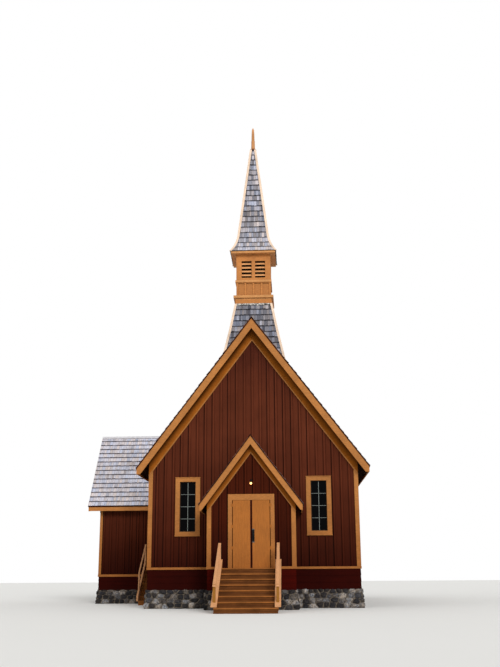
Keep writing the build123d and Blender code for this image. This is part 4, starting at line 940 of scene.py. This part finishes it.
def shingle_marks(tones):
    """Values at each point of the wedges: their tone and hue, 0 to 1 from underside to top and from
    the butt on."""
    hues = np.random.default_rng(5).uniform(0, 1, len(tones))
    return {"tone": np.asarray(tones)[:, None, None], "hue": hues[:, None, None],
            "lift": np.array((0.0, 0.0, 1.0, 1.0)), "run": np.array(((0.0,), (1.0,)))}


def lay_shingles(name, faces, keep=None, tone_shift=lambda rings, tones: tones):
    """One piece from the shingles of several faces, each given by what shingle_rings asks for; a tone
    shift turns their tones into those that the piece shows."""
    rings, tones = (np.concatenate(parts) for parts in
                    zip(*(shingle_rings(*face, keep=keep) for face in faces)))
    carried(name, rings, marks=shingle_marks(tone_shift(rings, tones)), finish=finishes()["shingles"],
            slot="weathered_shingles")


def slope(ridge, reach):
    """The edge of a straight roof slope, from its eave to its ridge."""
    return [(reach, ridge - PITCH * reach), (0.0, ridge)]


def base_half_at(z):
    """Half the steeple base's width at a height."""
    flare = BASE_MID_HALF + (BASE_MID - z) * BASE_FLARE
    taper = BASE_MID_HALF + (z - BASE_MID) * (BASE_TOP_HALF - BASE_MID_HALF) / (BASE_TOP - BASE_MID)
    return np.where(z < BASE_MID, flare, taper)


class CHAPEL_OT_roof_shingles(bpy.types.Operator):
    """Courses of split shingles on the nave's, the vestibule's and the wing's roofs"""
    bl_idname = "chapel.roof_shingles"
    bl_label = "Roof shingles"

    def execute(self, context):
        sizes = context.scene.chapel_sizes
        looks = finishes()
        # The roof solids carry painted shade: near black at their edges and in the shingles' gaps, dark
        # beneath.
        paint(["nave_roof_left", "nave_roof_right", "vestibule_roof", "wing_roof"], looks["roof"])
        paint(["ridge_caps"], looks["ridge"])
        reach = NAVE_HALF + SIDE_OVERHANG + LAP
        lap = END_OVERHANG + LAP

        def clear_nave(centre):
            """Leaves out the shingles inside the steeple's foot and under the wing's roof."""
            half = base_half_at(centre[:, 2])
            inside = (np.abs(centre[:, 0]) < half - 0.05) & (np.abs(centre[:, 1] - STEEPLE_Y) < half - 0.05)
            wing = WING_RIDGE - PITCH * np.abs(centre[:, 1] - WING_CENTRE)
            under = (centre[:, 0] < 0) & (wing > centre[:, 2] + 0.12)
            return ~(inside | under)

        for side, label in ((-1, "left"), (1, "right")):
            face = (slope(NAVE_RIDGE, reach), lambda s: (-lap, NAVE_LENGTH + lap), (side, 0, 0), (0, 1, 0),
                    (0, 0, 0), sizes, 11 + side)
            lay_shingles(f"nave_shingles_{label}", [face], clear_nave)
        vest_reach = VEST_HALF + VEST_SIDE_OVERHANG + LAP
        vest_lap = -VEST_DEPTH - VEST_END_OVERHANG - LAP
        lay_shingles("vestibule_shingles", [
            (slope(VEST_RIDGE, vest_reach), lambda s: (vest_lap, -0.001), (side, 0, 0), (0, 1, 0),
             (0, 0, 0), sizes, 21 + side) for side in (-1, 1)])
        wing_reach = WING_HALF + SIDE_OVERHANG + LAP
        wing_length = math.hypot(wing_reach, PITCH * wing_reach)

        def wing_limits(s):
            """From the wing's gable to the valley, or to the nave's wall below it."""
            z = WING_RIDGE - PITCH * wing_reach * (1 - min(s, wing_length) / wing_length)
            valley = -(NAVE_RIDGE - z) / PITCH
            return WING_END - lap, valley if z > WING_VALLEY_FOOT else -NAVE_HALF - 0.005

        lay_shingles("wing_shingles", [
            (slope(WING_RIDGE, wing_reach), wing_limits, (0, side, 0), (1, 0, 0), (0, WING_CENTRE, 0),
             sizes, 31 + side) for side in (-1, 1)], tone_shift=lambda rings, tones: tones * 0.6 + 0.66)
        return {"FINISHED"}


def four_ways():
    """The outward way and the way along each side of the steeple, from the front round."""
    for turn in range(4):
        sine, cosine = round(math.sin(turn * math.pi / 2)), round(math.cos(turn * math.pi / 2))
        yield np.array((sine, -cosine, 0.0)), np.array((cosine, sine, 0.0))


def hip_limits(edge):
    """How far a course reaches to both sides, between the hip boards, at a distance up an edge."""
    walked = np.concatenate([[0], np.cumsum(np.hypot(*np.diff(edge, axis=0).T))])

    def limits(s):
        half = float(np.interp(s, walked, edge[:, 0])) - HIP_BOARD - 0.003
        return -half, half

    return limits


def spire_edge():
    """The spire's edge: an arc through three points for the sweeping foot, then a straight taper."""
    top_half = SPIRE_TOP_HALF + (SPIRE_TOP - SWEEP_TOP) * SPIRE_TAPER
    middle = (top_half + 0.38 * (SPIRE_FOOT_HALF - top_half), SPIRE_FOOT + 0.45 * (SWEEP_TOP - SPIRE_FOOT))
    a, b, c = np.array((SPIRE_FOOT_HALF, SPIRE_FOOT)), np.array(middle), np.array((top_half, SWEEP_TOP))
    system = np.array([b - a, c - a]) * 2
    level = np.array([b @ b - a @ a, c @ c - a @ a])
    centre = np.linalg.solve(system, level)
    radius = np.linalg.norm(a - centre)
    angles = np.linspace(math.atan2(*(a - centre)[::-1]), math.atan2(*(c - centre)[::-1]), 13)
    arc = centre + radius * np.stack([np.cos(angles), np.sin(angles)], axis=1)
    return np.vstack([arc, (SPIRE_TOP_HALF, SPIRE_TOP)])


def flashing_rings(stations):
    """A thin sheet dressed over the top of the flared foot, all round: its profile lies on the
    plinth's ledge and turns down the slope, each point moves along its side in proportion to its
    distance out, so the corners mitre, and its lower edge wanders."""
    rng = np.random.default_rng(71)
    lean = (BASE_MID_HALF - BASE_TOP_HALF) / (BASE_TOP - BASE_MID)
    t = np.linspace(-1, 1, stations)
    rings = []
    for out, along in four_ways():
        drop = 0.075 + 0.035 * np.interp(t, np.linspace(-1, 1, 24), rng.uniform(-1, 1, 24))
        drop += 0.02 * rng.uniform(-1, 1, stations)
        drop[[0, -1]] = 0.08
        flat = np.ones(stations)
        proud = BASE_TOP_HALF + 0.036
        halves = [PLINTH_HALF * flat, proud * flat, proud + 0.004 + lean * drop, proud + lean * drop,
                  (proud - 0.004) * flat, PLINTH_HALF * flat]
        heights = [(BASE_TOP + 0.006) * flat, (BASE_TOP + 0.004) * flat, BASE_TOP - drop, BASE_TOP - drop,
                   BASE_TOP * flat, (BASE_TOP + 0.001) * flat]
        half, z = np.stack(halves, axis=1), np.stack(heights, axis=1)
        ring = half[..., None] * out + (t[:, None] * half)[..., None] * along
        ring[..., 1] += STEEPLE_Y
        ring[..., 2] += z
        rings.append(ring)
    return np.stack(rings)


class CHAPEL_OT_steeple_shingles(bpy.types.Operator):
    """Courses of split shingles on the spire and the flared foot, and the flashing over the foot"""
    bl_idname = "chapel.steeple_shingles"
    bl_label = "Steeple shingles"

    def execute(self, context):
        sizes = context.scene.chapel_sizes
        looks = finishes()
        # The solids under the shingles have no marks, so they take the butts' near-black painted shade,
        # which shows in the gaps.
        paint(["spire", "steeple_base"], looks["shingles"])
        base = np.array([(base_half_at(np.array(BASE_FOOT)), BASE_FOOT), (BASE_MID_HALF, BASE_MID),
                         (BASE_TOP_HALF, BASE_TOP)], float)

        def above_roof(centre):
            """Keeps the shingles that stand out of the nave's roof."""
            return centre[:, 2] > NAVE_RIDGE - PITCH * np.abs(centre[:, 0]) - 0.16

        def paler_foot(rings, tones):
            """The spire's sweeping foot catches more sun, so it is paler."""
            sweep = np.clip((SWEEP_TOP - rings[:, 0, 2, 2]) / (SWEEP_TOP - SPIRE_FOOT), 0, 1)
            return tones + (0.06 + 0.36 * sweep)

        # The spire's foot is paler as painted sunlight; the base's shingles are a little darker.
        for name, edge, seed, keep, tone_shift in (
                ("spire_shingles", spire_edge(), 41, None, paler_foot),
                ("base_shingles", base, 51, above_roof, lambda rings, tones: tones - 0.15)):
            lay_shingles(name, [(edge, hip_limits(edge), out, along, (0, STEEPLE_Y, 0), sizes, seed + turn)
                                for turn, (out, along) in enumerate(four_ways())], keep, tone_shift)
        carried("plinth_flashing", flashing_rings(90), finish=looks["flashing"], slot="weathered_shingles")
        return {"FINISHED"}


# Foundation
def stone_pattern(along, up, size, seed):
    """Relief, tone and bed of rubble masonry at points (along, up): jittered cells in staggered rows;
    the bed is how much nearer one cell is than the next, 0 in a joint, and the height grows with it."""
    rng = np.random.default_rng(seed)
    rows, joint = 4, 0.026
    height = 0.72 / rows
    centres = []
    for row in range(-1, rows + 1):
        at = along.min() - size
        while at < along.max() + size:
            width = size * rng.uniform(0.6, 1.45)
            centres.append((at + width / 2, (row + 0.5 + rng.uniform(-0.3, 0.3)) * height))
            at += width
    centres = np.array(centres)
    tone = rng.uniform(0.25, 0.95, len(centres))
    swell = rng.uniform(0.55, 1.0, len(centres))
    flat_a, flat_u = along.ravel(), up.ravel()
    found = np.empty((3, flat_a.size))
    for start in range(0, flat_a.size, 4096):
        part = slice(start, start + 4096)
        da = (flat_a[part, None] - centres[None, :, 0]) * 0.62
        du = flat_u[part, None] - centres[None, :, 1]
        distance = np.sqrt(da * da + du * du)
        nearest = np.argsort(distance, axis=1)[:, :2]
        rows_at = np.arange(distance.shape[0])
        f1, f2 = distance[rows_at, nearest[:, 0]], distance[rows_at, nearest[:, 1]]
        edge = np.clip((f2 - f1 - joint) / 0.05, 0, 1)
        dome = edge * edge * (3 - 2 * edge)
        found[0, part] = np.clip(dome * swell[nearest[:, 0]] * (1 - 0.25 * (f1 / 0.15) ** 2), 0, 1)
        found[1, part] = tone[nearest[:, 0]]
        found[2, part] = f2 - f1
    return found.reshape(3, *along.shape)


def stone_band(name, corners, turns, top, sizes, finish, seed, step=0.026):
    """A band of masonry along a path: a closed profile, up the face, in over the ledge and back down
    inside it, is carried along the path with mitred corners, and its face is pushed out by the
    stone pattern. The path runs with the building on its left."""
    corners = np.array(corners, float)
    spans = np.diff(corners, axis=0)
    lengths = np.hypot(spans[:, 0], spans[:, 1])
    ways = spans / lengths[:, None]
    outward = np.stack([ways[:, 1], -ways[:, 0]], axis=1)
    face_z = np.linspace(0, top, int(top / step) + 1)
    ledge = np.linspace(0, FOUNDATION_PROUD, 5)[1:]
    inward = np.concatenate([sizes.batter * (face_z / top - 1), ledge, [FOUNDATION_PROUD, 0.06]])
    height = np.concatenate([face_z, np.full(len(ledge), top), [top - 0.06, 0.0]])
    bulges = np.concatenate([np.ones(len(face_z)), np.full(len(ledge), 0.0), [0, 0]])
    rises = np.concatenate([np.zeros(len(face_z)), np.linspace(0.35, 0.15, len(ledge)), [0, 0]])
    rises[len(face_z) - 1] = 0.5
    stations = []
    walked = 0.0
    for i, size in enumerate(lengths):
        ts = np.linspace(0, size, max(2, int(size / step) + 1))
        if i < len(lengths) - 1:
            ts = ts[:-1]
        stations.append((i, ts, walked + ts))
        walked += size
    arc = np.concatenate([s[2] for s in stations])
    up = np.cumsum(np.concatenate([[0], np.hypot(np.diff(inward), np.diff(height))]))
    grid_a, grid_u = np.meshgrid(arc, up[:len(face_z) + len(ledge)], indexing="ij")
    relief, tones, beds = stone_pattern(grid_a, grid_u, sizes.stone, seed)
    pad = np.zeros((len(arc), 2))
    relief = np.concatenate([relief, pad], axis=1)
    tones, beds = (np.concatenate([values, pad + 0.3], axis=1) for values in (tones, beds))
    offset = inward[None] - relief * sizes.relief * bulges[None]
    z = height[None] + relief * sizes.relief * rises[None]
    z[:, 0] = 0.0
    rings = np.empty((len(arc), len(inward), 3))
    row = 0
    near = 0.4
    for i, ts, _ in stations:
        size = lengths[i]
        part = offset[row:row + len(ts)]
        shift = turns[i] * part * np.clip(1 - ts / near, 0, 1)[:, None]
        shift -= turns[i + 1] * part * np.clip(1 - (size - ts) / near, 0, 1)[:, None]
        base = corners[i] + ts[:, None] * ways[i]
        xy = base[:, None] + shift[..., None] * ways[i] - part[..., None] * outward[i]
        rings[row:row + len(ts), :, :2] = xy
        rings[row:row + len(ts), :, 2] = z[row:row + len(ts)]
        row += len(ts)
    count, points = rings.shape[:2]
    i, k = np.meshgrid(np.arange(count - 1), np.arange(points), indexing="ij")
    turn = (k + 1) % points
    sides = np.stack([i * points + k, (i + 1) * points + k, (i + 1) * points + turn, i * points + turn],
                     axis=-1).reshape(-1, 4).tolist()
    ends = [list(range(points)), [(count - 1) * points + k for k in range(points - 1, -1, -1)]]
    return make_mesh(name, rings, sides + ends, finish=finish, slot="rubble_stone",
                     marks={"tone": tones, "bed": beds})


class CHAPEL_OT_foundation(bpy.types.Operator):
    """Rubble stones with deep joints on the foundation's outer faces"""
    bl_idname = "chapel.foundation"
    bl_label = "Foundation stones"

    def execute(self, context):
        sizes = context.scene.chapel_sizes
        looks = finishes()
        paint(["foundation"], looks["mortar"])
        nave, wing = outlines(FOUNDATION_PROUD)
        stone_band("nave_stones", nave, (0, 1, -1, 1, 1, -1, 1, 1, 1, 0), FOUNDATION_TOP, sizes,
                   looks["stones"], 61)
        stone_band("wing_stones", wing, (0, 1, 1, 0), WING_FOUNDATION_TOP, sizes, looks["stones"], 62)
        return {"FINISHED"}


# Trim
class CHAPEL_OT_trim(bpy.types.Operator):
    """Paint and eased edges on the rake boards, corner boards, casings and water table"""
    bl_idname = "chapel.trim"
    bl_label = "Trim"

    def execute(self, context):
        looks = finishes()
        sunny = ["rake_fascias", "eave_boards", "corner_boards", "water_table", "window_casings",
                 "door_casings"]
        paint(sunny[:2], looks["trim"])
        paint(sunny[2:], looks["casing"])
        paint(["rake_friezes"], looks["frieze"])
        soften(sunny + ["rake_friezes"], 0.004)
        strips = []
        thick = FRIEZE_THICK + 0.016
        for line, half, wide, *plan in (
                (FRIEZE_LINE, NAVE_HALF, 0.075, (0, 0), (1, 0), (0, -1)),
                (FRIEZE_LINE, NAVE_HALF, 0.075, (0, NAVE_LENGTH), (1, 0), (0, 1)),
                (VEST_FRIEZE_LINE, VEST_HALF, 0.06, (0, -VEST_DEPTH), (1, 0), (0, -1)),
                (WING_FRIEZE_LINE, WING_HALF, 0.075, (WING_END, WING_CENTRE), (0, 1), (-1, 0))):
            at, along, out = flat(*plan)
            profile = ((0.0, 0.0), (thick, 0.0), (thick - 0.006, wide), (0.0, wide))
            for side in (-1, 1):
                strips.append([[at + side * u * along + o * out + np.array((0, 0, line - PITCH * u + rise))
                                for o, rise in profile] for u in (0.0, half + TRIM_THICK)])
        carried("frieze_mouldings", strips, finish=looks["trim"], slot="ochre_trim")
        return {"FINISHED"}


# Windows
def window_places():
    """Each window's middle on its wall's face, the way along the wall and its outward way."""
    n = NAVE_HALF
    rows = [((-WINDOW_X, 0), (1, 0), (0, -1), 0), ((WINDOW_X, 0), (1, 0), (0, -1), 0),
            ((-WINDOW_X, NAVE_LENGTH), (-1, 0), (0, 1), 0), ((WINDOW_X, NAVE_LENGTH), (-1, 0), (0, 1), 0),
            ((-n, SIDE_STATIONS[0]), (0, -1), (-1, 0), 0), ((-n, SIDE_STATIONS[3]), (0, -1), (-1, 0), 0),
            ((WING_END, WING_CENTRE), (0, -1), (-1, 0), WING_WINDOW_DROP),
            ((WING_REAR_WINDOW_X, WING_REAR), (-1, 0), (0, 1), WING_WINDOW_DROP)]
    return rows + [((n, y), (0, 1), (1, 0), 0) for y in SIDE_STATIONS]


class CHAPEL_OT_windows(bpy.types.Operator):
    """Sashes, panes and the bars that divide them two by four"""
    bl_idname = "chapel.windows"
    bl_label = "Windows"

    def execute(self, context):
        sizes = context.scene.chapel_sizes
        looks = finishes()
        paint(["window_sashes"], looks["sash"])
        paint(["window_glass"], looks["glass"])
        soften(["window_sashes"], 0.003)
        half, low, high = WINDOW_HALF - SASH_STILE, WINDOW_SILL + SASH_STILE, WINDOW_TOP - SASH_STILE
        across = np.array((-0.5, 0.5, 0.25, -0.25))[:, None]
        depth = np.array((0.005, 0.005, 0.021, 0.021))[:, None] - GLASS_SETBACK
        upward = np.array((0, 0, 1.0))
        uprights, rungs = [], []
        for *plan, drop in window_places():
            at, along, out = flat(*plan)
            face = at + depth * out - drop * upward
            wide = across * sizes.bar * 1.25
            uprights.append([face + wide * along + z * upward for z in (low, high)])
            for step in (1, 2, 3):
                z = low + (high - low) * step / 4
                rungs.append([face + u * along + (z + across * sizes.bar) * upward for u in (-half, half)])
        carried("window_uprights", uprights, finish=looks["bars"], slot="window_sash")
        carried("window_rungs", rungs, finish=looks["bars"], slot="window_sash")
        return {"FINISHED"}


# Entrance
class CHAPEL_OT_doors(bpy.types.Operator):
    """Planked door leaves with their hinges and pull"""
    bl_idname = "chapel.doors"
    bl_label = "Entrance doors"

    def execute(self, context):
        sizes = context.scene.chapel_sizes
        looks = finishes()
        paint(["door_left", "door_right", "side_door", "door_left_hinges", "door_right_hinges",
               "door_frame_hinges"], looks["door"])
        paint(["door_handle"], looks["pull"])
        soften(["door_handle"], 0.002)
        z0, z1 = PLANKS_FOOT, PLANKS_TOP
        count = int(round((PLANKS_OUTER - PLANKS_INNER) / sizes.plank))
        pitch = (PLANKS_OUTER - PLANKS_INNER) / count
        for side, label in ((-1, "left"), (1, "right")):
            rings = []
            for i in range(count):
                a, b = PLANKS_INNER + i * pitch + 0.0015, PLANKS_INNER + (i + 1) * pitch - 0.0015
                profile = [(a, 0.0), (a + 0.004, -0.0025), (b - 0.004, -0.0025), (b, 0.0),
                           (b, 0.001), (a, 0.001)]
                rings.append([[(side * x, DOOR_FACE + y, z) for x, y in profile] for z in (z0, z1)])
            carried(f"door_planks_{label}", rings, body=f"{label}_door", finish=looks["door"],
                    slot="ochre_door")
            # A near-black felt seal in each meeting rebate: partly a real seal, partly painted shade in the
            # gap.
            edge = [(0.0082, 0.0178), (0.0255, 0.0178), (0.0255, 0.0120), (0.0170, 0.0095), (0.0082, 0.0120)]
            strip = [[(side * x, DOOR_FACE + y, z) for x, y in edge] for z in (z0 + 0.002, z1 - 0.002)]
            carried(f"door_seal_and_gap_shade_{label}", [strip], body=f"{label}_door", finish=looks["strip"],
                    slot="ochre_door")
        return {"FINISHED"}


def turned(name, outline, centre, axis, turns, **rest):
    """An outline of (radius, distance) pairs revolved about an axis through a centre: each pair
    gives a ring of points at that radius and that distance along the axis."""
    axis = np.array(axis, float)
    side = np.array((1.0, 0, 0)) if abs(axis[0]) < 0.5 else np.array((0, 1.0, 0))
    other = np.cross(axis, side)
    angles = np.linspace(0, 2 * math.pi, turns, endpoint=False)
    circle = np.cos(angles)[:, None] * side + np.sin(angles)[:, None] * other
    rings = np.array([np.array(centre) + axis * h + circle * max(r, 0.0004) for r, h in outline])
    piece = carried(name, rings[None], **rest)
    piece.data.shade_smooth()
    return piece


class CHAPEL_OT_lamp(bpy.types.Operator):
    """The lamp over the entrance: a brass bracket and a lit bulb"""
    bl_idname = "chapel.lamp"
    bl_label = "Entrance lamp"

    def execute(self, context):
        looks = finishes()
        y, z = -VEST_DEPTH, LAMP_Z
        turned("lamp_bracket", [(0.045, 0.0), (0.045, 0.006), (0.036, 0.016), (0.012, 0.02),
                                        (0.011, 0.098), (0.016, 0.106), (0.016, 0.116), (0.0, 0.121)],
                       (0, y, z), (0, -1, 0), 32, finish=looks["iron"], slot="lamp_brass")
        turned("lamp_socket", [(0.0, 0.0), (0.013, 0.0), (0.019, -0.012), (0.024, -0.03),
                                        (0.024, -0.075), (0.0, -0.076)],
                        (0, y - 0.11, z + 0.005), (0, 0, 1), 32, finish=looks["iron"], slot="lamp_brass")
        angles = np.linspace(0.42, math.pi, 14)
        outline = [(0.042 * math.sin(a), 0.042 * math.cos(a)) for a in angles]
        bulb = turned("lamp_bulb", outline, (0, y - 0.11, z - 0.11), (0, 0, 1), 32, finish=looks["bulb"],
                      slot="lamp_brass")
        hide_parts("door_lamp")
        return {"FINISHED"}


class CHAPEL_OT_belfry(bpy.types.Operator):
    """Paint and eased edges on the belfry, the hips, the spire's eave and the finial"""
    bl_idname = "chapel.belfry"
    bl_label = "Belfry"

    def execute(self, context):
        looks = finishes()
        painted = ["belfry_walls", "belfry_mouldings", "belfry_louvres", "spire_eave"]
        paint(painted[:1], looks["belfry"])
        paint(["belfry_mouldings", "spire_eave"], looks["moulding"])
        paint(["belfry_louvres"], looks["louvres"])
        paint(["hip_boards"], looks["hips"])
        paint(["finial"], looks["finial"])
        soften(painted + ["hip_boards"], 0.004)
        return {"FINISHED"}


def cleat_rings():
    """Bars that close the joints under the front risers: a profile with eased upper edges lies from
    each tread's rear edge to under the next riser, and is carried straight across the stair."""
    steps = np.arange(1, 8)[:, None]
    out = np.array((0.0, 0.0, 0.004, 0.041, 0.045, 0.045))
    up = np.array((-0.030, -0.005, -0.001, -0.001, -0.005, -0.030))
    rings = np.empty((7, 2, 6, 3))
    rings[..., 0] = (STAIR_X + np.array((-1, 1)) * (STAIR_HALF - 0.002))[None, :, None]
    rings[..., 1] = (STAIR_FOOT - 0.025 + steps * TREAD_RUN + out)[:, None]
    rings[..., 2] = (steps * RISER + up)[:, None]
    return rings


class CHAPEL_OT_stairs(bpy.types.Operator):
    """Stained treads, the cleats behind them and painted rails, with eased edges"""
    bl_idname = "chapel.stairs"
    bl_label = "Stairs"

    def execute(self, context):
        looks = finishes()
        stained = ["front_treads", "front_stringers", "side_stair", "front_risers"]
        railed = ["front_rails", "side_rail"]
        paint(stained[:3], looks["stair"])
        paint(stained[3:], looks["riser"])
        paint(railed, looks["rail"])
        carried("riser_cleats", cleat_rings(), finish=looks["riser"], slot="stair_timber")
        soften(stained + railed, 0.005)
        paint(["main_floor"], looks["boards"])
        return {"FINISHED"}


class CHAPEL_OT_stage(bpy.types.Operator):
    """A pale floor, soft studio light and the photograph's camera"""
    bl_idname = "chapel.stage"
    bl_label = "Studio"

    def execute(self, context):
        scene = context.scene
        scene.view_settings.view_transform = "Standard"
        finish = studio_floor("plain_studio_floor", scene.chapel_colours.floor)
        span = np.linspace(-120.0, 120.0, 9)
        x, y = np.meshgrid(span, span, indexing="ij")
        points = np.stack([x, y, np.full_like(x, -0.002)], axis=-1)
        i, j = np.meshgrid(np.arange(8), np.arange(8), indexing="ij")
        faces = np.stack([i * 9 + j, (i + 1) * 9 + j, (i + 1) * 9 + j + 1, i * 9 + j + 1],
                         axis=-1).reshape(-1, 4).tolist()
        mesh = bpy.data.meshes.new("studio_floor")
        mesh.from_pydata(points.reshape(-1, 3).tolist(), [], faces)
        mesh.materials.append(finish)
        ground = bpy.data.objects.new("studio_floor", mesh)
        scene.collection.objects.link(ground)
        world = bpy.data.worlds.new("soft_room")
        scene.world = world
        world.use_nodes = True
        tree = world.node_tree
        tree.nodes.clear()
        rays = add(tree, "LightPath")
        seen = 0.0
        for kind in ("Camera", "Glossy", "Transmission"):
            seen = calc(tree, "MAXIMUM", seen, rays.outputs[f"Is {kind} Ray"])
        soft = add(tree, "Background", {"Color": (1, 0.99, 0.97, 1), "Strength": 0.62})
        white = add(tree, "Background", {"Color": (1, 1, 1, 1), "Strength": 1.0})
        both = add(tree, "MixShader", links={0: seen, 1: soft.outputs[0], 2: white.outputs[0]})
        out = add(tree, "OutputWorld", links={"Surface": both.outputs[0]})
        out.is_active_output = True
        lamps = (("key", 1.95, 20.0, (65, 0, 20)), ("fill", 0.4, 60.0, (62, 0, -48)))
        for name, strength, size, turn in lamps:
            light = bpy.data.lights.new(name, "SUN")
            light.energy = strength
            light.angle = math.radians(size)
            lamp = bpy.data.objects.new(name, light)
            lamp.rotation_euler = tuple(math.radians(a) for a in turn)
            scene.collection.objects.link(lamp)
        pitch, yaw, roll = (math.radians(a) for a in (CAMERA_PITCH, CAMERA_YAW, CAMERA_ROLL))
        ahead = np.array((math.sin(yaw) * math.cos(pitch), math.cos(yaw) * math.cos(pitch), math.sin(pitch)))
        right = np.array((math.cos(yaw), -math.sin(yaw), 0.0))
        up = np.cross(right, ahead)
        rolled_right = math.cos(roll) * right + math.sin(roll) * up
        rolled_up = -math.sin(roll) * right + math.cos(roll) * up
        turn = Matrix(np.stack([rolled_right, rolled_up, -ahead], axis=1).tolist()).to_4x4()
        lens = bpy.data.cameras.new("camera")
        lens.lens = CAMERA_LENS
        lens.sensor_width = 36.0
        lens.clip_end = 500.0
        camera = bpy.data.objects.new("camera", lens)
        camera.matrix_world = Matrix.Translation(CAMERA_PLACE) @ turn
        scene.collection.objects.link(camera)
        scene.camera = camera
        return {"FINISHED"}


STEPS = (CHAPEL_OT_siding, CHAPEL_OT_roof_shingles, CHAPEL_OT_steeple_shingles, CHAPEL_OT_foundation,
         CHAPEL_OT_trim, CHAPEL_OT_windows, CHAPEL_OT_doors, CHAPEL_OT_lamp, CHAPEL_OT_belfry,
         CHAPEL_OT_stairs, CHAPEL_OT_stage)


class CHAPEL_PT_panel(bpy.types.Panel):
    """Lists the chapel's pieces in the sidebar"""
    bl_idname = "CHAPEL_PT_panel"
    bl_label = "Timber chapel"
    bl_space_type = "VIEW_3D"
    bl_region_type = "UI"
    bl_category = "Chapel"

    def draw(self, context):
        column = self.layout.column()
        for step in STEPS:
            column.operator(step.bl_idname)
        for group in (context.scene.chapel_sizes, context.scene.chapel_colours):
            for key in group.__annotations__:
                column.prop(group, key)


def register():
    for kind in (ChapelSizes, ChapelColours, *STEPS, CHAPEL_PT_panel):
        bpy.utils.register_class(kind)
    bpy.types.Scene.chapel_sizes = PointerProperty(type=ChapelSizes)
    bpy.types.Scene.chapel_colours = PointerProperty(type=ChapelColours)


def unregister():
    del bpy.types.Scene.chapel_colours
    del bpy.types.Scene.chapel_sizes
    for kind in reversed((ChapelSizes, ChapelColours, *STEPS, CHAPEL_PT_panel)):
        bpy.utils.unregister_class(kind)


def main():
    """Registers the add-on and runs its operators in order."""
    register()
    for step in STEPS:
        group, action = step.bl_idname.split(".")
        getattr(getattr(bpy.ops, group), action)()


if __name__ == "__main__":
    main()
